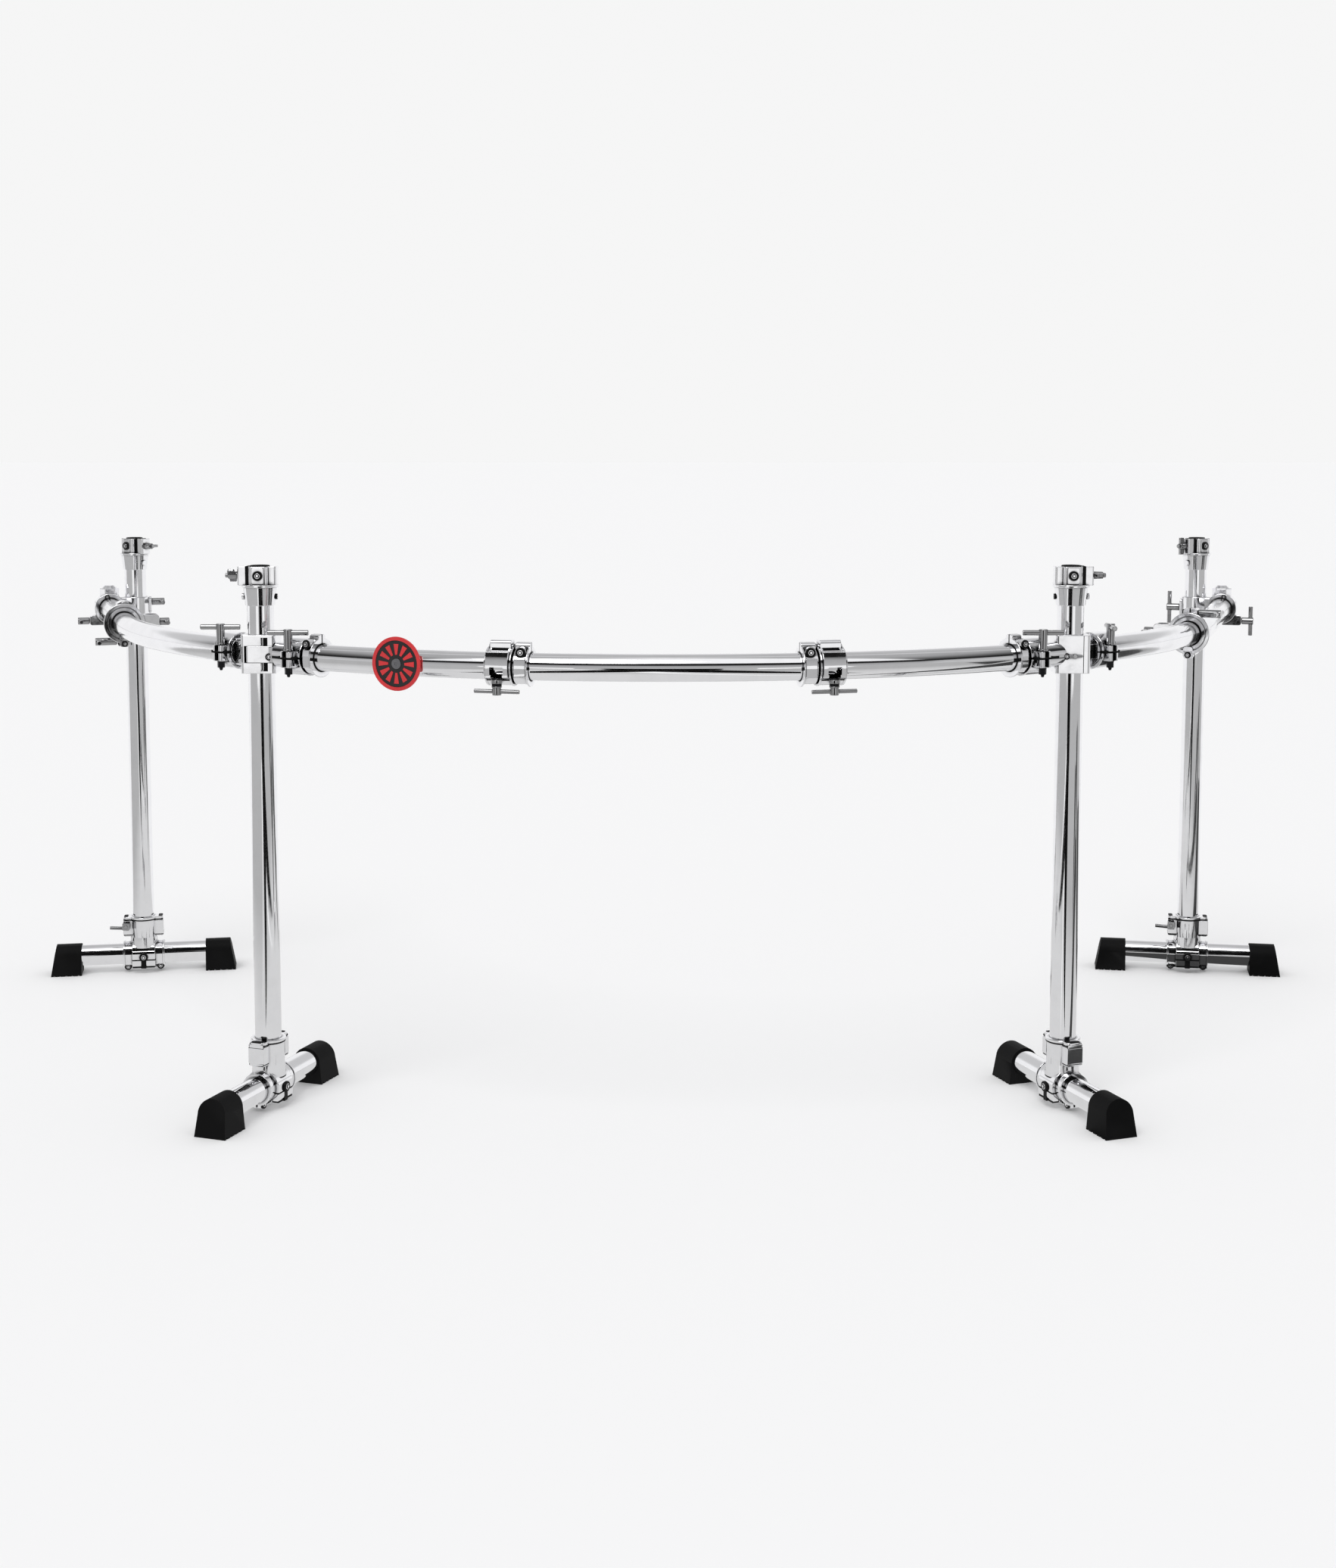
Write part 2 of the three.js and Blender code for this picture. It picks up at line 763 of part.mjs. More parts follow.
// A lever bolt, with its square nut facing along its own Z and its rod along X
function lever_solid() {
  const half = lever_nut / 2;
  const nut = block(at(-half, -half, gap), at(half, half, lever_nut_depth));
  const rod_z = lever_nut_depth - lever_rod_radius;
  const rod = bar(
    at(0, lever_rod_offset, rod_z),
    at(lever_rod_length, lever_rod_offset, rod_z),
    lever_rod_radius,
    lever_rod_radius,
    small_sides,
  );
  const shaft = bar(
    at(0, 0, -lever_shaft_length),
    at(0, 0, lever_nut_depth / 2),
    lever_shaft_radius,
    lever_shaft_radius,
    small_sides,
  );
  return joined([nut, rod, shaft]);
}

// A rubber foot: a domed section along the tube, cut to its side outline and bored for the tube
function rubber_foot() {
  const half_width = foot_bottom_width / 2;
  const inner = foot_tube_length / 2 + foot_end_wall - foot_top_length;
  const outer_top = inner + foot_top_length;
  const outer_bottom = outer_top + foot_flare;
  const top = foot_tube_height + foot_dome_radius;
  const section = new THREE.Shape();
  section.moveTo(-half_width, 0);
  section.lineTo(half_width, 0);
  section.absarc(0, foot_tube_height, foot_dome_radius, 0, Math.PI);
  section.closePath();
  const domed = new THREE.ExtrudeGeometry(section, {
    depth: outer_bottom - inner,
    bevelEnabled: false,
    curveSegments: dome_segments,
  });
  domed.rotateX(Math.PI / 2);
  domed.rotateZ(Math.PI / 2);
  domed.translate(inner, 0, 0);
  const outline = new THREE.Shape();
  outline.moveTo(inner, top);
  const pitch = (outer_bottom - inner) / foot_rib_count;
  for (let rib = 0; rib < foot_rib_count; rib += 1) {
    const start = inner + rib * pitch;
    outline.lineTo(start, rib === 0 ? 0 : foot_rib_depth);
    outline.lineTo(start + pitch * foot_rib_share / 2, 0);
    outline.lineTo(start + pitch * (1 - foot_rib_share / 2), 0);
  }
  outline.lineTo(outer_bottom, foot_rib_depth);
  outline.lineTo(outer_top, top);
  outline.closePath();
  const sides = new THREE.ExtrudeGeometry(outline, {
    depth: foot_bottom_width + overrun,
    bevelEnabled: false,
  });
  sides.rotateX(Math.PI / 2);
  sides.translate(0, (foot_bottom_width + overrun) / 2, 0);
  const tube_end = foot_tube_length / 2 + gap;
  const bore_start = at(inner - overrun, 0, foot_tube_height);
  const bore_end = at(tube_end, 0, foot_tube_height);
  const bore = bar(bore_start, bore_end, hole_radius(tube_radius));
  return to_solid(domed).intersect(to_solid(sides)).subtract(bore);
}

// The badge disc, with the curved pad behind it that rests on the rail
function badge_solid() {
  const face = -tube_radius - gap;
  const seat = block(
    at(-badge_seat_length / 2, face - gap, -badge_seat_width / 2),
    at(badge_seat_length / 2, 0, badge_seat_width / 2),
  );
  const front = face - gap;
  const disc = bar(at(0, front, 0), at(0, front - badge_thickness, 0), badge_radius);
  const half = badge_seat_length;
  const curve = new RailCurve(1, -half, half, rail_radius);
  const rail = to_solid(swept(curve, tube_radius + rail_gap, badge_seat_steps));
  const inside = block(at(-half, -tube_radius / 2, -badge_radius), at(half, half, badge_radius));
  return cut(joined([seat, disc]), [rail, inside]);
}

// Makes one named piece
function piece(name, geometry, finish) {
  const mesh = new THREE.Mesh(geometry, new THREE.MeshStandardMaterial(finishes[finish]));
  mesh.name = name;
  return mesh;
}

// Makes one named piece from a solid
function cast_piece(name, solid, finish) {
  return piece(name, to_geometry(solid), finish);
}

// Puts a group at a place, turned about Z
function frame(parent, x, y, z, turn) {
  const group = new THREE.Group();
  group.position.set(x, y, z);
  group.rotation.z = turn;
  parent.add(group);
  return group;
}

// A T-handle bolt beside a rail, its cross rod turned by an angle
function add_t_handle(parent, name, along, y, upward, cross_turn) {
  const handle = cast_piece(name, t_handle_solid(), 'cast_chrome');
  handle.position.set(along, y, 0);
  handle.rotation.set(upward > 0 ? 0 : Math.PI, 0, cross_turn, 'XYZ');
  parent.add(handle);
}

// One upright with its socket, leg casting, foot tube and feet
function add_upright(parent, name, hand, is_front) {
  const tube = upright_tube(post_bottom, post_top - flange_thickness, tube_radius, tube_wall);
  parent.add(piece(`${name}_post`, tube, 'chrome'));
  const socket_turn = is_front ? front_socket_turn : rear_socket_turn;
  const bolt_side = is_front ? hand : -hand;
  const socket = frame(parent, 0, 0, 0, THREE.MathUtils.degToRad(hand * socket_turn));
  socket.add(cast_piece(`${name}_socket_clamp`, socket_casting(bolt_side), 'cast_chrome'));
  socket.add(cast_piece(`${name}_socket_bushing`, bushing(bolt_side), 'black_plastic'));
  const wing_bolt = cast_piece(`${name}_wing_bolt`, wing_bolt_solid(), 'cast_chrome');
  wing_bolt.position.set(0, 0, wing_bolt_height);
  wing_bolt.rotation.set(0, bolt_side * Math.PI / 2, 0);
  wing_bolt.rotateZ(THREE.MathUtils.degToRad(wing_turns[name]));
  socket.add(wing_bolt);
  add_leg(parent, name, hand, is_front);
}

// The leg casting of one upright, with its lever, foot tube and two feet
function add_leg(parent, name, hand, is_front) {
  const foot_angle = THREE.MathUtils.degToRad(is_front ? front_foot_angle : rear_foot_angle);
  const leg = frame(parent, 0, 0, 0, hand > 0 ? -foot_angle : Math.PI + foot_angle);
  leg.add(cast_piece(`${name}_leg_casting`, leg_casting(), 'cast_chrome'));
  const lever_ear = !is_front && hand < 0 ? 1 : -1;
  const lever_face = is_front ? hand : -hand;
  const lever = cast_piece(`${name}_leg_lever`, lever_solid(), 'cast_chrome');
  lever.position.set(lever_ear * lever_along, lever_face * ear_thickness / 2, lever_height);
  lever.rotation.set(-lever_face * Math.PI / 2, 0, 0);
  const rise = THREE.MathUtils.degToRad(is_front ? front_lever_rise : rear_lever_rise);
  lever.rotateZ(-lever_face * (lever_ear > 0 ? rise : Math.PI - rise));
  leg.add(lever);
  const tube = upright_tube(-foot_tube_length / 2, foot_tube_length / 2, tube_radius, tube_wall);
  tube.rotateY(Math.PI / 2);
  tube.translate(0, 0, foot_tube_height);
  leg.add(piece(`${name}_foot_tube`, tube, 'chrome'));
  const outer = cast_piece(`${name}_outer_foot`, rubber_foot(), 'rubber');
  leg.add(outer);
  const inner = cast_piece(`${name}_inner_foot`, rubber_foot(), 'rubber');
  inner.rotation.z = Math.PI;
  leg.add(inner);
}

// The front rail with its badge, two clamps and two lock rings
function add_front_rail(parent) {
  const half = rail_radius * front_turn - main_ring_start - gap;
  const middle = frame(parent, 0, -front_bow, rail_height, 0);
  const curve = new RailCurve(1, -half, half, rail_radius);
  const rail = swept(curve, tube_radius, front_rail_steps, tube_radius - tube_wall);
  middle.add(piece('front_rail', rail, 'chrome'));
  const badge = on_front_rail(middle, -THREE.MathUtils.degToRad(badge_angle));
  badge.add(cast_piece('badge', badge_solid(), 'badge_red'));
  for (const hand of [-1, 1]) {
    const name = hand < 0 ? 'left' : 'right';
    const turn = THREE.MathUtils.degToRad(accessory_angle);
    const clamp = on_front_rail(middle, hand * turn);
    clamp.add(cast_piece(`${name}_front_clamp`, front_clamp_solid(), 'cast_chrome'));
    add_t_handle(clamp, `${name}_front_clamp_handle`, 0, -bolt_offset, -1, Math.PI / 2);
    const lock_step = (accessory_length / 2 + lock_gap + lock_length / 2) / rail_radius;
    const lock = on_front_rail(middle, hand * (turn - lock_step));
    lock.add(cast_piece(`${name}_lock_ring`, lock_ring_solid(), 'cast_chrome'));
  }
}

// A frame on the front rail, at an angle from its middle
function on_front_rail(middle, angle) {
  const x = rail_radius * Math.sin(angle);
  const y = rail_radius * (1 - Math.cos(angle));
  return frame(middle, x, y, 0, angle);
}

// The two halves of a corner clamp and their T bolts
function add_corner(corner, wing, name, hand) {
  const main_heading = hand > 0 ? Math.PI + front_turn : -front_turn;
  const main = frame(corner, 0, 0, rail_height, main_heading);
  const main_side = -hand;
  const main_solid = hand > 0
    ? fork_casting(main_side, -main_heading, true)
    : band_casting(main_side, -main_heading, false);
  main.add(cast_piece(`${name}_corner_main_half`, main_solid, 'cast_chrome'));
  const main_cross = Math.PI / 2 - main_heading;
  const main_bolt_y = -main_side * bolt_offset;
  add_t_handle(main, `${name}_corner_main_handle`, main_bolt_along, main_bolt_y, 1, main_cross);
  const wing_heading = hand > 0 ? wing_start : Math.PI - wing_start;
  const wing_solid = hand > 0
    ? band_casting(hand, -wing_heading, true)
    : fork_casting(hand, -wing_heading, false);
  wing.add(cast_piece(`${name}_corner_wing_half`, wing_solid, 'cast_chrome'));
  const wing_cross = (hand > 0 ? 0 : Math.PI / 2) - wing_heading;
  const wing_bolt_y = -hand * bolt_offset;
  add_t_handle(wing, `${name}_corner_wing_handle`, wing_bolt_along, wing_bolt_y, 1, wing_cross);
}

// A wing rail with its clamp, and the rear upright that it carries
function add_wing(corner, name, hand) {
  const heading = hand > 0 ? wing_start : Math.PI - wing_start;
  const wing = frame(corner, 0, 0, rail_height, heading);
  const curve = new RailCurve(hand, wing_ring_start + gap, wing_rail_end, wing_bend_length);
  const rail = swept(curve, tube_radius, wing_rail_steps, tube_radius - tube_wall);
  wing.add(piece(`${name}_wing_rail`, rail, 'bright_chrome'));
  const clamp_along = wing_clamp_alongs[name];
  const clamp_at = on_wing(hand, clamp_along);
  const clamp_turn = hand * Math.min(clamp_along, wing_bend_length) / rail_radius;
  const clamp = frame(wing, clamp_at.x, clamp_at.y, 0, clamp_turn);
  const clamp_solid = wing_clamp_solid(hand, wing_clamp_flips[name]);
  clamp.add(cast_piece(`${name}_wing_clamp`, clamp_solid, 'cast_chrome'));
  const end_turn = hand * wing_end_turn;
  const rail_at = on_wing(hand, rear_clamp_along);
  const across = at(0, hand * rear_clamp_offset, 0).applyAxisAngle(up, end_turn);
  const post_at = rail_at.add(across);
  const rear = frame(wing, post_at.x, post_at.y, 0, end_turn);
  const bolt_rise = rear_bolt_rises[name];
  rear.add(cast_piece(`${name}_rear_clamp`, rear_casting(hand, bolt_rise), 'cast_chrome'));
  const handle = cast_piece(`${name}_rear_clamp_handle`, rear_handle_solid(), 'cast_chrome');
  handle.position.z = bolt_rise;
  handle.rotation.set(-hand * Math.PI / 2, 0, hand > 0 ? 0 : Math.PI / 2);
  rear.add(handle);
  const upright = frame(rear, 0, 0, -rail_height, -heading - end_turn);
  add_upright(upright, `rear_${name}`, hand, false);
  return wing;
}

// A point on a wing rail, in the wing's own frame
function on_wing(hand, along) {
  return new RailCurve(hand, 0, along, wing_bend_length).getPoint(1);
}

// The whole rack
const rack = new THREE.Group();
const plan = new THREE.Group();
rack.add(plan);
add_front_rail(plan);
for (const hand of [-1, 1]) {
  const name = hand < 0 ? 'left' : 'right';
  const corner = frame(plan, hand * front_post_x, 0, 0, 0);
  const wing = add_wing(corner, name, hand);
  add_corner(corner, wing, name, hand);
  add_upright(corner, `front_${name}`, hand, true);
}

// The origin lies on the floor, at the middle of the rack's length and depth
rack.updateMatrixWorld(true);
const bounds = new THREE.Box3().setFromObject(rack, true);
const middle_of_rack = bounds.getCenter(new THREE.Vector3());
plan.position.set(-middle_of_rack.x, -middle_of_rack.y, -bounds.min.z);

export default rack;
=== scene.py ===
import math
import bpy
from mathutils import Matrix, Vector


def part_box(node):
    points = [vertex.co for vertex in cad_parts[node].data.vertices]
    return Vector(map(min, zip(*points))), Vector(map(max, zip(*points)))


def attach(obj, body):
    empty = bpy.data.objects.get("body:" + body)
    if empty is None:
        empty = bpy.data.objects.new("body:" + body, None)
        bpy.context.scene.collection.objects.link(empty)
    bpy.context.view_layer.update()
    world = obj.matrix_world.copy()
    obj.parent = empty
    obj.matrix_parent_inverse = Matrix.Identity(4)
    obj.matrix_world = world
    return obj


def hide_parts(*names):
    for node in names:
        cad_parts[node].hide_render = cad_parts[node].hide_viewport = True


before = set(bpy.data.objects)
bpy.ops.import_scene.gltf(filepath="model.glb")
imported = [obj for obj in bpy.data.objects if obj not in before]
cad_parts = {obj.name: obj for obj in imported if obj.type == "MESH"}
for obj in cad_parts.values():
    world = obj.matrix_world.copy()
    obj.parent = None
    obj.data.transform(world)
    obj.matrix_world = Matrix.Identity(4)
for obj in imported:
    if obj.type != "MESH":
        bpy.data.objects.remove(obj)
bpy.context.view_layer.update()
mm = 0.001

# The camera stands a little above the rack on the audience side, about three metres off.
# It looks slightly down, and its frame is lifted so that the rack sits below the middle.
image_width, image_height = 1765, 2072
focal_pixels = 2842.8
sensor_width = 36
camera_back, camera_height = 3.3970, 0.9901
look_down = math.radians(5.70)
axis_column, axis_row = 879.3, 850
bpy.ops.object.camera_add(
    location=(0, -camera_back, camera_height),
    rotation=(math.pi / 2 - look_down, 0, 0),
)
camera = bpy.context.active_object
camera.name = "camera"
camera.data.sensor_width = sensor_width
camera.data.lens = focal_pixels * sensor_width / image_height
camera.data.shift_x = (image_width / 2 - axis_column) / image_height
camera.data.shift_y = (axis_row - image_height / 2) / image_height
bpy.context.scene.camera = camera
bpy.context.scene.view_settings.view_transform = "Standard"

# The studio is a pale floor under an even pale surround, lit by one broad soft lamp. Metal
# mirrors a greyer room behind the camera, with a dark band overhead and grey side walls.
backdrop_value, floor_value = 0.92, 0.937
floor_size, floor_roughness = 120, 0.9
room_light = 0.74
lamp_strength = 0.95
lamp_angle = math.radians(34)
lamp_turn = math.radians(32), math.radians(-14), 0
cool_tint = 1.01
room_steps = [
    (0.000, 0.46), (0.090, 0.38), (0.130, 0.20), (0.138, 0.01), (0.222, 0.01),
    (0.232, 0.96), (0.590, 0.96), (0.610, 0.44), (0.820, 0.60), (0.860, 0.92),
]
side_steps = [
    (0.00, 0.60), (0.28, 0.42), (0.31, 0.02), (0.44, 0.02), (0.60, 0.15), (0.80, 0.38), (1.00, 0.46),
]
corner_slope, corner_fade = 1.15, 0.14
wall_fade_start, wall_fade_end = 0.10, 0.45


def grey(value, blue_share=1):
    return (value, value, value * blue_share, 1)


def node(tree, kind, *inputs, **settings):
    added = tree.nodes.new("ShaderNode" + kind)
    given = dict(enumerate(inputs))
    for name, value in settings.items():
        if name[0].islower():
            setattr(added, name, value)
        else:
            given[name.replace("_", " ")] = value
    for name, value in given.items():
        if isinstance(value, bpy.types.NodeSocket):
            tree.links.new(value, added.inputs[name])
        else:
            added.inputs[name].default_value = value
    return added.outputs


def new_material(name):
    material = bpy.data.materials.new(name)
    material.use_nodes = True
    return material, material.node_tree, material.node_tree.nodes["Principled BSDF"].inputs


def value_ramp(tree, steps, share):
    ramp = tree.nodes.new("ShaderNodeValToRGB")
    elements = ramp.color_ramp.elements
    while len(elements) < len(steps):
        elements.new(0.5)
    for element, (position, value) in zip(elements, steps):
        element.position = position
        element.color = grey(value, cool_tint)
    tree.links.new(share, ramp.inputs["Fac"])
    return ramp.outputs["Color"]


bpy.ops.mesh.primitive_plane_add(size=floor_size, location=(0, 0, 0))
floor = bpy.context.active_object
floor.name = "studio_floor"
floor_material, tree, floor_shader = new_material("studio_floor")
floor_shader["Base Color"].default_value = grey(floor_value)
floor_shader["Roughness"].default_value = floor_roughness
floor_shader["Specular IOR Level"].default_value = 0.0
floor.data.materials.append(floor_material)

bpy.ops.object.light_add(type="SUN", rotation=lamp_turn)
lamp = bpy.context.active_object
lamp.name = "soft_lamp"
lamp.data.energy = lamp_strength
lamp.data.angle = lamp_angle

world = bpy.data.worlds.new("studio")
bpy.context.scene.world = world
world.use_nodes = True
room = world.node_tree
room.nodes.clear()
rays = node(room, "LightPath")
even = node(room, "Background", Color=grey(1, cool_tint), Strength=room_light)
pale = node(room, "Background", Color=grey(backdrop_value))
direction = node(room, "SeparateXYZ", node(room, "TexCoord")["Generated"])
toward_room = node(room, "Math", direction["Y"], -1, operation="MULTIPLY")
climb = node(room, "Math", direction["Z"], toward_room[0], operation="ARCTAN2")
climb_share = node(room, "MapRange", Value=climb[0], From_Max=math.pi)
sideways = node(room, "Math", direction["X"], operation="ABSOLUTE")
past_corner = node(room, "Math", direction["Y"], corner_slope, sideways[0], operation="MULTIPLY_ADD")
wall_share = node(
    room, "MapRange", Value=past_corner[0], From_Max=corner_fade, interpolation_type="SMOOTHSTEP",
)
wall_end = node(
    room, "MapRange", Value=direction["Y"], From_Min=wall_fade_start, From_Max=wall_fade_end,
    To_Min=1, To_Max=0,
)
side_share = node(room, "Math", wall_share["Result"], wall_end["Result"], operation="MULTIPLY")
room_colour = value_ramp(room, room_steps, climb_share["Result"])
side_colour = value_ramp(room, side_steps, direction["Z"])
walls = node(room, "Mix", data_type="RGBA", Factor=side_share[0], A=room_colour, B=side_colour)
mirrored = node(room, "Background", Color=walls["Result"])
seen_by_metal = node(
    room, "Math", rays["Is Glossy Ray"], rays["Is Transmission Ray"], operation="MAXIMUM",
)
metal_or_even = node(room, "MixShader", seen_by_metal[0], even[0], mirrored[0])
camera_or_rest = node(room, "MixShader", rays["Is Camera Ray"], metal_or_even[0], pale[0])
node(room, "OutputWorld", Surface=camera_or_rest[0])

# Cards that only metal mirrors. A grey one covers the far floor, a black one stands behind
# the camera, and narrow strips lie before each upright, as a photographer flags a chrome tube.
card_black, card_white = 0.004, 0.94
card_back = 0.15
card_left, card_width, card_height = -0.03, 1.34, 0.62
side_low, side_high, side_bottom, side_top = 1.05, 2.40, 0.20, 0.68
far_floor_near, far_floor_far = 1.0, 1.9
far_floor_light, far_floor_grey = 0.69, 0.46
far_floor_behind, far_floor_height = 0.80, 1 * mm
far_floor_stretch = 0.9, 1, 0
low_card_height, low_card_width = 0.34, 0.62
low_card_near, low_card_far = 0.22, 2.3
strip_tip = 0.002
strips = [
    ("black", -10, 8, card_black, 3, 1.25),
    ("white", -15, -10, 0.98, 2, 1.25),
    ("dark", 66, 78, 0.05, 2, 1.0),
]
card_y = -camera_back - card_back
post_spots = {}
for upright in ("front_left", "front_right", "rear_left", "rear_right"):
    low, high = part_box(f"{upright}_post")
    post_spots[upright] = Vector(((low[0] + high[0]) / 2, (low[1] + high[1]) / 2, 0))


def glow(name, value):
    material, tree, shader = new_material(name)
    tree.nodes.clear()
    node(tree, "OutputMaterial", Surface=node(tree, "Emission", Color=grey(value))[0])
    return material


def add_card(name, material, size, location, standing=False):
    bpy.ops.mesh.primitive_plane_add(size=1, location=(0, 0, 0))
    card = bpy.context.active_object
    card.name = name
    card.scale = (*size, 1)
    card.rotation_euler = (math.pi / 2 if standing else 0, 0, 0)
    card.location = location
    card.data.materials.append(material)
    card.visible_camera = False
    card.visible_diffuse = False
    card.visible_shadow = False
    card.visible_transmission = False
    return card


far_floor = glow("card_far_floor", far_floor_grey)
tree = far_floor.node_tree
spot = node(tree, "NewGeometry")["Position"]
flat = node(tree, "VectorMath", spot, far_floor_stretch, operation="MULTIPLY")
reach = node(tree, "VectorMath", flat[0], operation="LENGTH")
fade = node(
    tree, "MapRange", Value=reach["Value"], From_Min=far_floor_near, From_Max=far_floor_far,
    To_Min=far_floor_light, To_Max=far_floor_grey,
)
tree.links.new(fade["Result"], tree.nodes["Emission"].inputs["Color"])
far_floor_place = (0, far_floor_behind - floor_size / 2, far_floor_height)
add_card("card_on_far_floor", far_floor, (floor_size, floor_size), far_floor_place)
add_card(
    "card_behind_camera", glow("card_black", card_black), (card_width, card_height),
    (card_left, card_y, card_height / 2), standing=True,
)
for hand in (-1, 1):
    add_card(
        f"card_beside_camera_{hand}", glow(f"card_side_{hand}", card_white),
        (side_high - side_low, side_top - side_bottom),
        (hand * (side_low + side_high) / 2, card_y, (side_bottom + side_top) / 2), standing=True,
    )
for upright in ("rear_left", "rear_right"):
    below_only = glow(f"card_low_{upright}", card_black)
    tree = below_only.node_tree
    one_sided = node(
        tree, "MixShader", node(tree, "NewGeometry")["Backfacing"], node(tree, "BsdfTransparent")[0],
        tree.nodes["Emission"].outputs[0],
    )
    tree.links.new(one_sided[0], tree.nodes["Material Output"].inputs["Surface"])
    spot = post_spots[upright]
    add_card(
        f"card_over_{upright}_foot", below_only, (low_card_width, low_card_far - low_card_near),
        (spot.x, spot.y - (low_card_near + low_card_far) / 2, low_card_height),
    )
for strip_name, from_angle, to_angle, value, layer, strip_start in strips:
    strip_material = glow(f"card_{strip_name}", value)
    for upright, spot in post_spots.items():
        to_camera = Vector((0, -camera_back, 0)) - spot
        strip_end = to_camera.length + card_back
        near_angle = math.radians((from_angle + to_angle) / 2)
        strip = add_card(
            f"card_{strip_name}_before_{upright}", strip_material, (1, 1),
            spot + Vector((0, 0, layer * mm)),
        )
        strip.rotation_euler.z = math.atan2(to_camera.y, to_camera.x)
        strip_corners = [
            (strip_start, near_angle - strip_tip),
            (strip_end, math.radians(from_angle)),
            (strip_start, near_angle + strip_tip),
            (strip_end, math.radians(to_angle)),
        ]
        for vertex, (along, angle) in zip(strip.data.vertices, strip_corners):
            vertex.co = (along * math.cos(angle), along * math.sin(angle), 0)

# The front rail is a 38 mm steel tube, bent to a shallow bow and plated with bright chrome.
# The plating has faint polishing streaks and finger marks that only show in its gloss.
rail_low, rail_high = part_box("front_rail")
rail_height = (rail_low[2] + rail_high[2]) / 2
post_low, post_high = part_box("front_right_post")
front_post_x = (post_low[0] + post_high[0]) / 2
front_post_y = (post_low[1] + post_high[1]) / 2
tube_radius = 19.05 * mm
tube_wall = 1.8 * mm
tube_rim, tube_rim_angle = 0.5, 1.2
tube_sides = 64
bow_radius = 957
rail_radius = bow_radius * mm
front_turn = math.asin(front_post_x / rail_radius)
rail_centre = Vector((0, front_post_y + rail_radius * math.cos(front_turn), rail_height))
rail_end_gap = 66.3 * mm
rail_steps = 120
weld_gap = 0.01 * mm
smooth_angle = math.radians(32)
chrome_colour = (0.93, 0.93, 0.945, 1)
# Near black painted into the creases and corners of the chrome as shade.
painted_shade_colour = (0.03, 0.03, 0.032, 1)
worn_share = 0.955
ripple_depth = 0.4


def shader_group(name, inputs, outputs):
    group = bpy.data.node_groups.new(name, "ShaderNodeTree")
    for direction, sockets in (("INPUT", inputs), ("OUTPUT", outputs)):
        for socket in sockets:
            group.interface.new_socket(name=socket, in_out=direction, socket_type="NodeSocketFloat")
    return group, group.nodes.new("NodeGroupInput").outputs, group.nodes.new("NodeGroupOutput").inputs


marks_group, given, result = shader_group(
    "handling_marks", ["Size", "Clean", "Marked"], ["Roughness", "Marks"],
)
place = node(marks_group, "TexCoord")["Object"]
smears = node(marks_group, "TexNoise", Vector=place, Scale=given["Size"], Detail=5, Roughness=0.62)
wide = node(marks_group, "MapRange", Value=smears["Fac"], From_Min=0.42, From_Max=0.72)
blend = node(
    marks_group, "MapRange", Value=wide["Result"], To_Min=given["Clean"], To_Max=given["Marked"],
)
marks_group.links.new(blend["Result"], result["Roughness"])
marks_group.links.new(wide["Result"], result["Marks"])


def chrome(name, colour, clean, marked, size, waves, wave_size, crevice_shade=0):
    material, tree, shader = new_material(name)
    shader["Metallic"].default_value = 1
    marks = node(tree, "Group", node_tree=marks_group, Size=size, Clean=clean, Marked=marked)
    tree.links.new(marks["Roughness"], shader["Roughness"])
    worn = [channel * worn_share for channel in colour[:3]] + [1]
    tint = node(tree, "Mix", data_type="RGBA", Factor=marks["Marks"], A=colour, B=worn)
    # Painted shade: an ambient occlusion node darkens the base colour towards near black in creases and
    # corners within the given distance.
    if crevice_shade:
        hollow = node(tree, "AmbientOcclusion", samples=8, Distance=crevice_shade * mm)
        spread = node(tree, "MapRange", Value=hollow["AO"], From_Min=0.38, From_Max=0.90)
        tint = node(
            tree, "Mix", data_type="RGBA", Factor=spread["Result"], A=painted_shade_colour, B=tint["Result"],
        )
    tree.links.new(tint["Result"], shader["Base Color"])
    place = node(tree, "TexCoord")["Object"]
    ripple = node(tree, "TexNoise", Vector=place, Scale=wave_size, Detail=1)
    bump = node(tree, "Bump", Strength=waves, Distance=ripple_depth * mm, Height=ripple["Fac"])
    tree.links.new(bump["Normal"], shader["Normal"])
    return material


tube_chrome = chrome("tube_chrome", chrome_colour, 0.045, 0.10, 34, 0.04, 30)


def turned(angle, axis="Z"):
    return Matrix.Rotation(angle, 4, axis)


def shifted(x, y, z):
    return Matrix.Translation((x * mm, y * mm, z * mm))


def select_only(*pieces):
    bpy.ops.object.select_all(action="DESELECT")
    for piece in pieces:
        piece.select_set(True)
    bpy.context.view_layer.objects.active = pieces[0]


def settle(piece):
    select_only(piece)
    bpy.ops.object.transform_apply(location=True, rotation=True, scale=True)
    return piece


def moved(piece, place):
    piece.matrix_world = place
    return settle(piece)


def edited(piece, *steps):
    select_only(piece)
    bpy.ops.object.mode_set(mode="EDIT")
    bpy.ops.mesh.select_all(action="SELECT")
    for operator, settings in steps:
        operator(**settings)
    bpy.ops.object.mode_set(mode="OBJECT")
    return piece


def facing_out(piece):
    return edited(piece, (bpy.ops.mesh.normals_make_consistent, {"inside": False}))


def apply_modifier(piece, kind, **settings):
    select_only(piece)
    modifier = piece.modifiers.new(kind, kind)
    for name, value in settings.items():
        setattr(modifier, name, value)
    bpy.ops.object.modifier_apply(modifier=modifier.name)


def bevelled(piece, width, angle=0.8, segments=3):
    apply_modifier(
        piece, "BEVEL", width=width * mm, segments=segments, limit_method="ANGLE", angle_limit=angle,
    )
    return piece


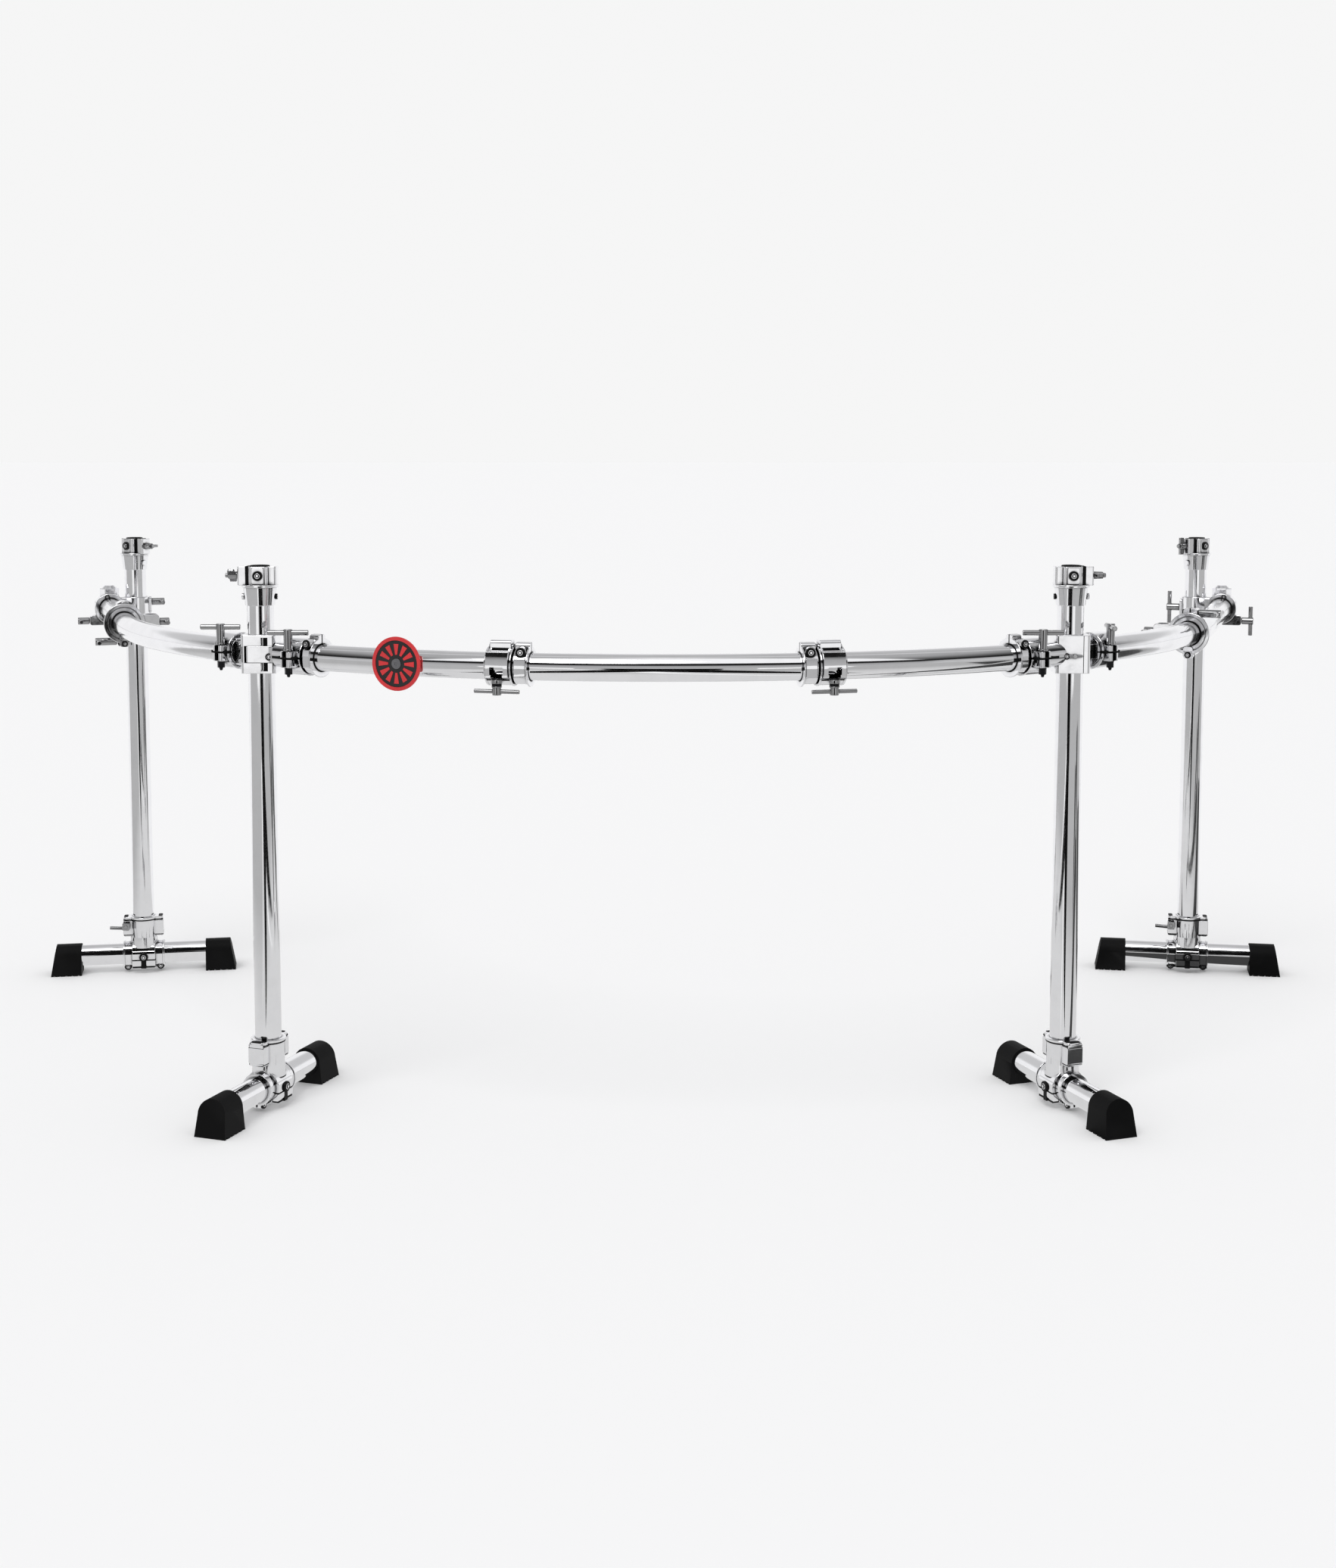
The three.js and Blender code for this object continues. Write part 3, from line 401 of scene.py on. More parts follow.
def dressed(piece, name, material, body, *replaced):
    select_only(piece)
    bpy.ops.object.shade_smooth_by_angle(angle=smooth_angle)
    apply_modifier(piece, "WEIGHTED_NORMAL", keep_sharp=True, weight=80)
    piece.name = name
    piece.data.name = name
    piece.data.materials.clear()
    piece.data.materials.append(material)
    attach(piece, body)
    if replaced:
        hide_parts(*replaced)


def walled(piece):
    edited(piece, (bpy.ops.mesh.remove_doubles, {"threshold": weld_gap}))
    facing_out(piece)
    apply_modifier(piece, "SOLIDIFY", thickness=tube_wall, offset=-1)
    return bevelled(piece, tube_rim, tube_rim_angle, segments=2)


rail_half = front_turn - rail_end_gap / rail_radius
bpy.ops.mesh.primitive_circle_add(vertices=tube_sides, radius=tube_radius)
front_rail = bpy.context.active_object
start_turn = Matrix.Rotation(-rail_half, 3, "Z")
front_rail.rotation_euler = (start_turn @ Matrix.Rotation(math.pi / 2, 3, "Y")).to_euler()
front_rail.location = rail_centre + start_turn @ Vector((0, -rail_radius, 0))
bow = {"steps": rail_steps, "angle": -2 * rail_half, "center": rail_centre, "axis": (0, 0, 1)}
edited(settle(front_rail), (bpy.ops.mesh.spin, bow))
dressed(walled(front_rail), "front_rail_tube", tube_chrome, "rack", "front_rail")

# The badge is a pressed disc on the front rail, with a red rim, a black field and a grey hub.
# Its face is a plain ring of red wedges, and a curved pad behind it is stuck to the tube.
badge_angle = math.radians(-22.2)
badge_radius, badge_rim, badge_sides = 37.5, 5.2, 96
badge_back, badge_front = 19.65, 22.65
badge_field, badge_field_overlap = 21.4, 0.1
hub_radius, hub_front, hub_dish_radius, hub_dish_depth = 7.2, 22.6, 2.4, 0.6
wedge_count = 12
wedge_from, wedge_to = 12.5, 27.5
wedge_narrow, wedge_widening = 3.2, 2.4
wedge_front = 22.0
pad_half, pad_rise, pad_front, pad_bore = 20, 7, 14, 19.2
red_enamel_colour, red_worn = (0.63, 0.025, 0.03, 1), (0.5, 0.02, 0.025, 1)
black_enamel_colour, black_worn = (0.012, 0.012, 0.013, 1), (0.02, 0.02, 0.021, 1)
badge_grey_colour, grey_worn = (0.16, 0.16, 0.17, 1), (0.22, 0.22, 0.23, 1)


def select_edges(piece, chosen):
    select_only(piece)
    bpy.ops.object.mode_set(mode="EDIT")
    bpy.ops.mesh.select_mode(type="EDGE")
    bpy.ops.mesh.select_all(action="DESELECT")
    bpy.ops.object.mode_set(mode="OBJECT")
    corners = piece.data.vertices
    for edge in piece.data.edges:
        edge.select = chosen(*[corners[index].co for index in edge.vertices])
    bpy.ops.object.mode_set(mode="EDIT")


def round_bar(start, end, radius, end_radius=None, edge=0.5, sides=48):
    start, end = Vector(start) * mm, Vector(end) * mm
    run = end - start
    far_radius = radius if end_radius is None else end_radius
    bpy.ops.mesh.primitive_cone_add(
        vertices=sides, radius1=radius * mm, radius2=far_radius * mm, depth=run.length,
    )
    piece = bpy.context.active_object
    piece.rotation_euler = run.to_track_quat("Z", "Y").to_euler()
    piece.location = (start + end) / 2
    settle(piece)
    return bevelled(piece, edge) if edge else piece


def bar_x(start, end, *radii, y=0, z=0, **finish):
    return round_bar((start, y, z), (end, y, z), *radii, **finish)


def bar_y(start, end, *radii, x=0, z=0, **finish):
    return round_bar((x, start, z), (x, end, z), *radii, **finish)


def bar_z(start, end, *radii, x=0, y=0, **finish):
    return round_bar((x, y, start), (x, y, end), *radii, **finish)


def rounded_block(first, second, edge=0.8, corner=0, axis=2):
    low = Vector([min(pair) for pair in zip(first, second)]) * mm
    high = Vector([max(pair) for pair in zip(first, second)]) * mm
    bpy.ops.mesh.primitive_cube_add(size=1)
    piece = bpy.context.active_object
    piece.scale = high - low
    piece.location = (low + high) / 2
    settle(piece)
    if corner:
        def runs_along(first, second):
            return abs((second - first)[axis]) > 0.9 * (second - first).length
        select_edges(piece, runs_along)
        bpy.ops.mesh.bevel(offset=corner * mm, segments=6, affect="EDGES")
        bpy.ops.object.mode_set(mode="OBJECT")
    return bevelled(piece, edge, 0.6) if edge else piece


def combined(whole, others, operation):
    for other in others:
        apply_modifier(whole, "BOOLEAN", operation=operation, object=other, solver="EXACT")
        bpy.data.objects.remove(other, do_unlink=True)
    return whole


def fused(whole, *others):
    return combined(whole, others, "UNION")


def drilled(whole, *cutters):
    return combined(whole, cutters, "DIFFERENCE")


def copied(template, place):
    select_only(template)
    bpy.ops.object.duplicate()
    copy = moved(bpy.context.active_object, place)
    return facing_out(copy) if place.determinant() < 0 else copy


def put_away(*templates):
    for template in templates:
        bpy.data.objects.remove(template, do_unlink=True)


def joined(*pieces):
    select_only(*pieces)
    bpy.ops.object.join()
    return bpy.context.active_object


def on_front_rail(angle):
    return Matrix.Translation(rail_centre) @ turned(angle) @ shifted(0, -bow_radius, 0)


grain_group, given, result = shader_group("fine_grain", ["Size", "Patches"], ["Grain", "Patch"])
place = node(grain_group, "TexCoord")["Object"]
for scale, detail, out in [("Size", 2, "Grain"), ("Patches", 4, "Patch")]:
    noise = node(grain_group, "TexNoise", Vector=place, Scale=given[scale], Detail=detail)
    grain_group.links.new(noise["Fac"], result[out])


def moulded(name, colour, worn_colour, smooth, rough, grain_size, grain_depth, metal=0.0):
    material, tree, shader = new_material(name)
    shader["Metallic"].default_value = metal
    grain = node(tree, "Group", node_tree=grain_group, Size=grain_size, Patches=grain_size / 30)
    spread = node(tree, "MapRange", Value=grain["Patch"], From_Min=0.45, From_Max=0.75)
    colours = node(tree, "Mix", data_type="RGBA", Factor=spread["Result"], A=colour, B=worn_colour)
    gloss = node(tree, "MapRange", Value=grain["Patch"], To_Min=smooth, To_Max=rough)
    bump = node(tree, "Bump", Strength=0.35, Distance=grain_depth * mm, Height=grain["Grain"])
    tree.links.new(colours["Result"], shader["Base Color"])
    tree.links.new(gloss["Result"], shader["Roughness"])
    tree.links.new(bump["Normal"], shader["Normal"])
    return material


red_enamel = moulded("red_enamel", red_enamel_colour, red_worn, 0.25, 0.38, 500, 0.03)
black_enamel = moulded(
    "black_enamel", black_enamel_colour, black_worn, 0.3, 0.45, 500, 0.03,
)
badge_grey = moulded(
    "badge_grey", badge_grey_colour, grey_worn, 0.3, 0.45, 500, 0.03, 0.6,
)
badge_place = on_front_rail(badge_angle)
rim = bar_y(-badge_back, -badge_front, badge_radius, edge=0, sides=badge_sides)
rim = drilled(rim, bar_y(0, -badge_radius, badge_radius - badge_rim, edge=0, sides=badge_sides))
bevelled(rim, 0.7)
field_radius = badge_radius - badge_rim + badge_field_overlap
field = bar_y(-badge_back, -badge_field, field_radius, sides=badge_sides)
hub = bar_y(-badge_field, -hub_front, hub_radius)
hub = drilled(hub, bar_y(-hub_front + hub_dish_depth, -badge_radius, hub_dish_radius, edge=0, sides=32))
wedge = rounded_block(
    (-wedge_narrow / 2, -wedge_front, wedge_from), (wedge_narrow / 2, -badge_field, wedge_to), edge=0,
)
select_edges(wedge, lambda first, second: min(first.z, second.z) > (wedge_to - 1) * mm)
bpy.ops.transform.resize(value=(wedge_widening, 1, 1))
bpy.ops.object.mode_set(mode="OBJECT")
apply_modifier(wedge, "BEVEL", width=0.25 * mm, segments=2)
spokes = []
for count in range(wedge_count):
    spokes.append(copied(wedge, turned(2 * math.pi * count / wedge_count, "Y")))
wedges = joined(*spokes)
pad = rounded_block((-pad_half, -badge_back, -pad_rise), (pad_half, -pad_front, pad_rise), corner=3, axis=1)
pad = drilled(pad, bar_x(-2 * pad_half, 2 * pad_half, pad_bore, edge=0, sides=64))
dressed(copied(rim, badge_place), "badge_rim", red_enamel, "rack", "badge")
for name, part, material in [
    ("badge_field", field, black_enamel),
    ("badge_hub", hub, badge_grey),
    ("badge_wedges", wedges, red_enamel),
    ("badge_pad", pad, black_enamel),
]:
    dressed(copied(part, badge_place), name, material, "rack")
put_away(rim, field, hub, wedge, wedges, pad)

# The T-handle bolts are cast barrels with a cross rod through the top, screwed down on the
# clamp lugs. Their threaded shafts are drawn near black, and a domed nut holds each from below.
cast_chrome_colour = (0.92, 0.92, 0.935, 1)
handle_chrome_colour = (0.38, 0.38, 0.385, 1)
near_black_colour, near_black_worn = (0.016, 0.016, 0.018, 1), (0.032, 0.032, 0.034, 1)
barrel_radius, barrel_taper = 6.4, 0.4
barrel_foot, barrel_top = 10.1, 41
barrel_flange, barrel_flange_height = 0.3, 3
barrel_rim_depth = 1.1
groove_width, groove_in, groove_out, groove_low, groove_high = 2.2, 0.9, 2, 5, 9
cross_rod_radius, cross_rod_half, cross_rod_height = 3.8, 29, 36
shaft_radius = 3.3
thread_pitch, thread_depth = 1.25, 0.7
shaft_tip, shaft_tip_radius = 27, 1.8
nut_radius, nut_top, nut_dome = 5.6, 13.4, 23
# The castings and the handles both get painted shade in their creases, reaching six millimetres.
cast_chrome = chrome("cast_chrome", cast_chrome_colour, 0.05, 0.13, 60, 0.12, 55, crevice_shade=6)
handle_chrome = chrome(
    "handle_chrome", handle_chrome_colour, 0.06, 0.15, 70, 0.12, 60, crevice_shade=6,
)
near_black_metal = moulded("near_black_metal", near_black_colour, near_black_worn, 0.25, 0.42, 700, 0.02, 0.9)


def threaded_rod(start, end, radius):
    rod = bar_z(start, end, radius, edge=0, sides=24)
    turns = int((end - start) / thread_pitch)
    steps = []
    for step in range(1, 2 * turns):
        height = start + step * (end - start) / (2 * turns)
        ring = {"plane_co": (0, 0, height * mm), "plane_no": (0, 0, 1)}
        steps.append((bpy.ops.mesh.select_all, {"action": "SELECT"}))
        steps.append((bpy.ops.mesh.bisect, ring))
    edited(rod, *steps)
    half_pitch = (end - start) / (2 * turns) * mm

    def on_a_root(first, second):
        counts = [(point.z - start * mm) / half_pitch for point in (first, second)]
        return all(abs(count - round(count)) < 0.05 and round(count) % 2 == 1 for count in counts)

    select_edges(rod, on_a_root)
    root_share = 1 - thread_depth / radius
    bpy.ops.transform.resize(value=(root_share, root_share, 1))
    bpy.ops.object.mode_set(mode="OBJECT")
    return rod


barrel = fused(
    bar_z(barrel_foot, barrel_top, barrel_radius - barrel_taper, barrel_radius, edge=barrel_rim_depth),
    bar_z(barrel_foot, barrel_foot + barrel_flange_height, barrel_radius + barrel_flange, edge=0.6),
)
barrel = drilled(barrel, rounded_block(
    (-groove_width / 2, barrel_radius - groove_in, barrel_foot + groove_low),
    (groove_width / 2, barrel_radius + groove_out, barrel_top - groove_high),
    edge=0, corner=1, axis=1,
))
cross_rod = bar_y(-cross_rod_half, cross_rod_half, cross_rod_radius, z=cross_rod_height, edge=1.1)
t_handle = fused(barrel, cross_rod)
t_nut = fused(
    bar_z(-nut_dome, -nut_top, nut_radius, edge=0, sides=6),
    bar_z(-shaft_tip, -nut_top - 2, shaft_tip_radius, nut_radius - 0.6, edge=0.6, sides=32),
)
bevelled(t_nut, 0.5, 0.6, segments=2)
t_shaft = threaded_rod(-nut_top, barrel_foot + 0.5, shaft_radius)


def add_t_handle(name, place, body):
    dressed(copied(t_handle, place), f"{name}_bolt", handle_chrome, body, name)
    dressed(copied(t_nut, place), f"{name}_nut", near_black_metal, body)
    dressed(copied(t_shaft, place), f"{name}_thread", near_black_metal, body)


# Small drum-key screws lock the collars. Each has a square head that stands in a round cup, and
# the cup sits in a recess of the casting. A black ring round the cup and a black disc on its floor
# are painted shade, standing in for the dark of that recess.
screw_radius, screw_rim = 5.0, 0.8
screw_cup, screw_cup_floor, screw_wall = 2.6, 0.8, 0.7
screw_square, screw_square_foot, screw_square_top = 1.35, 0.5, 3.4
screw_head, screw_clear = 3.3, 9
socket_half, socket_low, socket_high, socket_gap = 1.5, 0.7, 1.2, 0.05
nylon_colour, nylon_worn = (0.003, 0.003, 0.0032, 1), (0.007, 0.007, 0.0073, 1)
nylon_shine = 0.15
cup = bar_z(0, screw_cup, screw_head, edge=0.35, sides=32)
cup = drilled(cup, bar_z(screw_cup_floor, screw_clear, screw_head - screw_wall, edge=0, sides=32))
square = rounded_block(
    (-screw_square, -screw_square, screw_square_foot), (screw_square, screw_square, screw_square_top),
    edge=0.3,
)
key_screw = fused(cup, square)
# Painted shade: a black ring round the cup and a black disc on the cup's floor, where the recess is only dark
# with shade.
seat = bar_z(-1, screw_cup - 0.4, screw_radius + screw_rim, edge=0.4, sides=32)
seat = drilled(seat, bar_z(-0.2, screw_clear, screw_head + 0.1, edge=0, sides=32))
cup_floor_shade = bar_z(socket_low, socket_high, screw_head - screw_wall - socket_gap, edge=0, sides=32)
seat_square = rounded_block(
    (-socket_half, -socket_half, 0), (socket_half, socket_half, screw_clear), edge=0,
)
screw_shade_ring = joined(seat, drilled(cup_floor_shade, seat_square))
# One near-black material serves the real nylon liners, bushings and plugs, and the painted shade strips and
# rings set where the castings are only dark with shade.
black_nylon_and_shade = moulded("black_nylon_and_shade", nylon_colour, nylon_worn, 0.42, 0.6, 800, 0.03)
black_nylon_and_shade.node_tree.nodes["Principled BSDF"].inputs["Specular IOR Level"].default_value = nylon_shine


def add_key_screws(name, body, *places):
    heads = [copied(key_screw, place) for place in places]
    shade_rings = [copied(screw_shade_ring, place) for place in places]
    dressed(joined(*heads), f"{name}_screws", cast_chrome, body)
    # The joined black rings are painted recess shade.
    dressed(joined(*shade_rings), f"{name}_screw_shade_rings", black_nylon_and_shade, body)


def facing(place, point, toward, size):
    turn = Vector(toward).to_track_quat("Z", "Y").to_matrix().to_4x4()
    return place @ Matrix.Translation(Vector(point) * mm) @ turn @ Matrix.Scale(size / screw_radius, 4)


# Two cast clamps on the front rail carry the arms. Each is hinged on top, lined with black
# nylon, and closed by a T-handle bolt that hangs from its lower front lug.
clamp_angle = math.radians(13.4)
clamp_half, clamp_radius = 19, 26.4
clamp_collar_radius, clamp_collar_length = 27.3, 3.2
inside = 12
hinge_half, hinge_depth, hinge_top = 15, 9.5, 36
crown_half, crown_depth, crown_top = 17.4, 7, 31
bulge, bulge_inside = 60, 8
clamp_face, face_half, face_low, face_high = 30.5, 15.8, -13.5, 21.4
clamp_slot_half, slot_low, slot_high, slot_back, slot_floor = 12, 22.3, 25.9, 8.4, 8.2
clamp_lug_half, clamp_lug_out, clamp_lug_foot = 9.5, 34.5, 9.7
bolt_offset, bolt_boss_radius, bolt_boss_foot = 27, 8.6, 14
seam_half, seam_out, seam_in, seam_low, seam_high, seam_bore = 16.5, 21.2, 16, -17.9, -16.6, 9.4
liner_radius, liner_bore, liner_proud, liner_gap = 20.5, 19.45, 0.4, 0.1
hanging_rod_radius, hanging_rod_half, hanging_rod_height = 2.9, 32, 32
hanging_barrel = 14.4, 37, 6.0, 6.4
hanging_rings = (15.6, 21, 7.9), (24.6, 26.6, 7.2)
hanging_gaps = (14.2, 15.4, 7.4), (21.2, 24.4, 6.9)
past = 90


def rail_hole(radius=liner_radius + liner_gap, y=0):
    return bar_x(-past, past, radius, y=y, edge=0, sides=64)


def bulged_face(half_length, front, low, high):
    face = bar_x(-half_length, half_length, bulge, y=bulge - front, edge=0, sides=256)
    block = rounded_block((-half_length, -front - 1, low), (half_length, -bulge_inside, high), edge=0)
    return bevelled(combined(face, [block], "INTERSECT"), 0.9)


def lined(half_length):
    return drilled(bar_x(-half_length, half_length, liner_radius, edge=0.3, sides=64), rail_hole(liner_bore))


front_clamp = fused(
    bar_x(-clamp_half, clamp_half, clamp_radius, edge=1, sides=64),
    bar_x(-clamp_half, clamp_collar_length - clamp_half, clamp_collar_radius, edge=1, sides=64),
    bar_x(clamp_half - clamp_collar_length, clamp_half, clamp_collar_radius, edge=1, sides=64),
    rounded_block(
        (-hinge_half, -hinge_depth, inside), (hinge_half, hinge_depth, hinge_top), corner=4.5, axis=0,
    ),
    rounded_block(
        (-crown_half, -crown_depth, inside), (crown_half, crown_depth, crown_top), corner=5, axis=0,
    ),
    bulged_face(face_half, clamp_face, face_low, face_high),
    rounded_block(
        (-clamp_lug_half, -clamp_lug_out, -clamp_lug_foot), (clamp_lug_half, -10, 1),
        edge=1, corner=4, axis=0,
    ),
    bar_z(-bolt_boss_foot, 0, bolt_boss_radius, y=-bolt_offset, edge=1),
)
front_clamp = drilled(
    front_clamp,
    rail_hole(),
    rounded_block((-clamp_slot_half, -30, slot_low), (clamp_slot_half, -slot_back, slot_high), edge=0),
)
# Painted shade: a black strip at the back of the front slot and a black strip along the lower seam stand in
# for the shade in those gaps, and are joined to the nylon liner.
slot_shade_strip = rounded_block(
    (0.2 - clamp_slot_half, -slot_floor - 1, slot_low - 1),
    (clamp_slot_half - 0.2, -slot_floor, slot_high + 1), edge=0.2,
)
seam_shade_strip = rounded_block((-seam_half, -seam_out, seam_low), (seam_half, -seam_in, seam_high), edge=0.2)
seam_shade_strip = drilled(seam_shade_strip, bar_z(-40, 40, seam_bore, y=-bolt_offset, edge=0))
liner_and_shade_strips = joined(lined(clamp_half + liner_proud), slot_shade_strip, seam_shade_strip)
hanging_handle = fused(
    bar_z(*hanging_barrel, edge=1),
    *[bar_z(*ring, edge=0.7) for ring in hanging_rings],
    bar_y(-hanging_rod_half, hanging_rod_half, hanging_rod_radius, z=hanging_rod_height, edge=0.8),
)
hanging_grooves = joined(*[bar_z(*gap, edge=0.2) for gap in hanging_gaps])
for hand, side_name in [(-1, "left"), (1, "right")]:
    place = on_front_rail(hand * clamp_angle)
    body = f"{side_name}_front_clamp"
    dressed(copied(front_clamp, place), f"{body}_casting", cast_chrome, body, body)
    # This liner object also carries the painted shade strips.
    dressed(copied(liner_and_shade_strips, place), f"{body}_liner", black_nylon_and_shade, body)
    upside_down = turned(math.pi, "X") @ turned(math.pi / 2)
    hanging = place @ shifted(0, -bolt_offset, 0) @ upside_down
    handle = f"{side_name}_front_clamp_handle"
    dressed(copied(hanging_handle, hanging), f"{handle}_bolt", handle_chrome, handle, handle)
    dressed(copied(hanging_grooves, hanging), f"{handle}_grooves", near_black_metal, handle)
put_away(front_clamp, liner_and_shade_strips, hanging_handle, hanging_grooves)

# A lock ring stands beside each front clamp and keeps its place when the clamp is opened,
# and another stands at each end of the rail, against the corner clamp.
ring_half, ring_radius = 10.5, 24.5
ring_face, ring_face_half = 26.4, 13
ring_flange_radius, ring_flange_length = 28, 2.3
ring_lug_half, ring_lug_top = 7.5, 33
ring_boss_height, ring_screw_depth = 20.5, 0.4
ring_boss_out, ring_boss_radius, ring_screw = 18.5, 7.8, 5.8
end_boss_out, end_boss_radius, end_screw = 24, 6.4, 5.4
ring_split = 1.1
end_ring_along, end_ring_share = 110.5, 0.8
lock_step = (clamp_half + 1 + ring_half) / bow_radius


def lock_ring_casting(half, boss_radius, boss_out):
    flange_start = half - ring_flange_length
    return drilled(
        fused(
            bar_x(-half, half, ring_radius, edge=0.9, sides=64),
            bar_x(flange_start, half, ring_flange_radius, edge=0.8, sides=64),
            rounded_block((-half, -ring_lug_half, 10), (half, ring_lug_half, ring_lug_top), corner=5, axis=0),
            bulged_face(flange_start, ring_face, -ring_face_half, ring_face_half),
            bar_y(0, -boss_out, boss_radius, z=ring_boss_height, edge=0.8),
        ),
        rail_hole(),
        rounded_block((-30, -ring_split, 18), (30, ring_split, 60), edge=0),
    )


def add_lock_ring(name, body, ring, liner, place, side, boss_out, screw_size, *replaced):
    sideways = Matrix.Diagonal((side, 1, 1, 1))
    dressed(copied(ring, place @ sideways), f"{name}_casting", cast_chrome, body, *replaced)
    dressed(copied(liner, place), f"{name}_liner", black_nylon_and_shade, body)
    screw_at = (0, ring_screw_depth - boss_out, ring_boss_height)
    add_key_screws(name, body, facing(place, screw_at, (0, -1, 0), screw_size))


lock_ring = lock_ring_casting(ring_half, ring_boss_radius, ring_boss_out)
end_ring = lock_ring_casting(ring_half * end_ring_share, end_boss_radius, end_boss_out)
ring_liner = lined(ring_half + liner_proud)
end_ring_liner = lined(ring_half * end_ring_share + liner_proud)
for hand, side_name in [(-1, "left"), (1, "right")]:
    name = f"{side_name}_lock_ring"
    place = on_front_rail(hand * (clamp_angle - lock_step))
    add_lock_ring(name, name, lock_ring, ring_liner, place, -hand, ring_boss_out, ring_screw, name)
    name = f"{side_name}_end_ring"
    place = on_front_rail(hand * (front_turn - end_ring_along * mm / rail_radius))
    add_lock_ring(name, "rack", end_ring, end_ring_liner, place, -hand, end_boss_out, end_screw)
put_away(lock_ring, end_ring, ring_liner, end_ring_liner)

# At each front post a corner clamp joins the front rail to a wing rail. It is cast in two
# halves that turn on the post: a fork above and below, and a band between its two plates.
block_half, block_half_width, block_depth, block_corner = 27.5, 25.2, 25.5, 5
band_half, band_radius, band_gap, band_set_back = 12, 22.6, 0.4, 6
slot_far = 32.4
neck_start, neck_half_width, neck_half_height, neck_overlap = 16, 14, 20, 3
arm_start, oval_start, oval_half_height, oval_depth_share = 10, 37, 18, 0.82
slot_line_start, slot_line_low, slot_line_high = 38.5, -4.2, -0.6
post_bore = 19.35
far = 60
corner_ring_radius = 27
ring_sizes = {"main": (66, 100, 86), "wing": (42, 76, 57)}
lug_half, lug_top, lug_bottom, lug_in, lug_out = 10, 9.7, 13, 8, 35
ring_gap, gap_in, bolt_gap, filler_bore = 1.5, 16, 0.9, 3.7
wing_start = math.radians(39)
wall_open = math.radians(113), math.radians(280)
window_low_x, window_high_x, window_back = 3.6, 13.8, 17
window_low, window_high = 12, 24.2
border_low_x, border_high_x, border_front, border_back = -23.6, -19.0, 25, 15
line_half, line_depth, line_proud, line_end = 0.45, 2, 0.2, 0.6
face_line_x = 15.1
plate_start, plate_end, plate_lip = 1.2, 0.3, 0.8
left_screw = (15.7, -block_depth, -3.4), 4.4
right_screws = ((-18.3, -block_depth - 0.2, -1.7), 4.9), ((-9.2, -block_depth - 0.2, -2.6), 3.9)
latch_tip = (13.5, -block_depth - 1.0, -2.4)
latch_root = (-6, -block_depth - 1.6, -3.0)
latch_pin_x, latch_pin_z, latch_pin_radius = 2.6, -2.7, 3.4


def corner_place(hand):
    return Matrix.Translation((hand * front_post_x, front_post_y, rail_height))


def on_curve(side, along):
    turn = along / bow_radius
    shift = Vector((bow_radius * math.sin(turn), side * bow_radius * (1 - math.cos(turn)), 0)) * mm
    return Matrix.Translation(shift) @ turned(side * turn)


def post_hole(low=-far, high=far):
    return bar_z(low, high, post_bore, edge=0, sides=64)


def ring_parts(side, start, end, bolt_along):
    bolt_y = -side * bolt_offset
    middle = on_curve(side, (start + end) / 2)
    half = (end - start) / 2
    ring = moved(bar_x(-half, half, corner_ring_radius, edge=1.2, sides=64), middle)
    lug = rounded_block(
        (bolt_along - lug_half, -side * lug_in, -lug_bottom),
        (bolt_along + lug_half, -side * lug_out, lug_top), corner=3.5,
    )
    bore = moved(
        bar_x(-half - liner_gap, half + 9, liner_radius + liner_gap, edge=0, sides=64), middle,
    )
    gap_cut = rounded_block(
        (start - 3, -side * gap_in, -ring_gap), (end + 9, -side * far, ring_gap), edge=0,
    )
    hole_radius = shaft_radius + bolt_gap
    hole = bar_z(-far, far, hole_radius, x=bolt_along, y=bolt_y, edge=0)
    front_slot = rounded_block(
        (bolt_along - hole_radius, bolt_y, -far), (bolt_along + hole_radius, -side * far, far),
        edge=0,
    )
    # Painted shade: a black block set in the split between the lugs stands in for the shade in that gap, and
    # is joined to the liner.
    filler = rounded_block(
        (start + 1, -side * gap_in, -ring_gap - 0.5), (end - 1, -side * (lug_out - 5), ring_gap + 0.5),
        edge=0.2,
    )
    filler = drilled(
        filler,
        bar_z(-far, far, filler_bore, x=bolt_along, y=bolt_y, edge=0),
        moved(bar_x(-half - 30, half + 30, liner_bore, edge=0, sides=64), middle),
    )
    liner = joined(moved(lined(half + liner_proud), middle), filler)
    return [ring, lug], [bore, gap_cut, hole, front_slot], liner


def swing_opening(side):
    sector = bar_z(-band_half - band_gap, band_half + band_gap, far, edge=0, sides=96)
    for angle, flip in zip(wall_open, (1, -1)):
        direction = Vector((math.cos(-side * angle), math.sin(-side * angle), 0))
        normal = Vector((-direction.y, direction.x, 0)) * (flip * side)
        cut = {"plane_co": (0, 0, 0), "plane_no": normal, "clear_outer": True, "use_fill": True}
        edited(sector, (bpy.ops.mesh.bisect, cut))
    return sector


def oval_neck(low_x, high_x):
    neck = bar_x(low_x, high_x, oval_half_height, edge=1, sides=64)
    return moved(neck, Matrix.Diagonal((1, oval_depth_share, 1, 1)))


def square_block(half, low_x):
    return rounded_block(
        (low_x, -block_depth, -half), (block_half_width, block_depth, half), edge=0.9, corner=block_corner,
    )


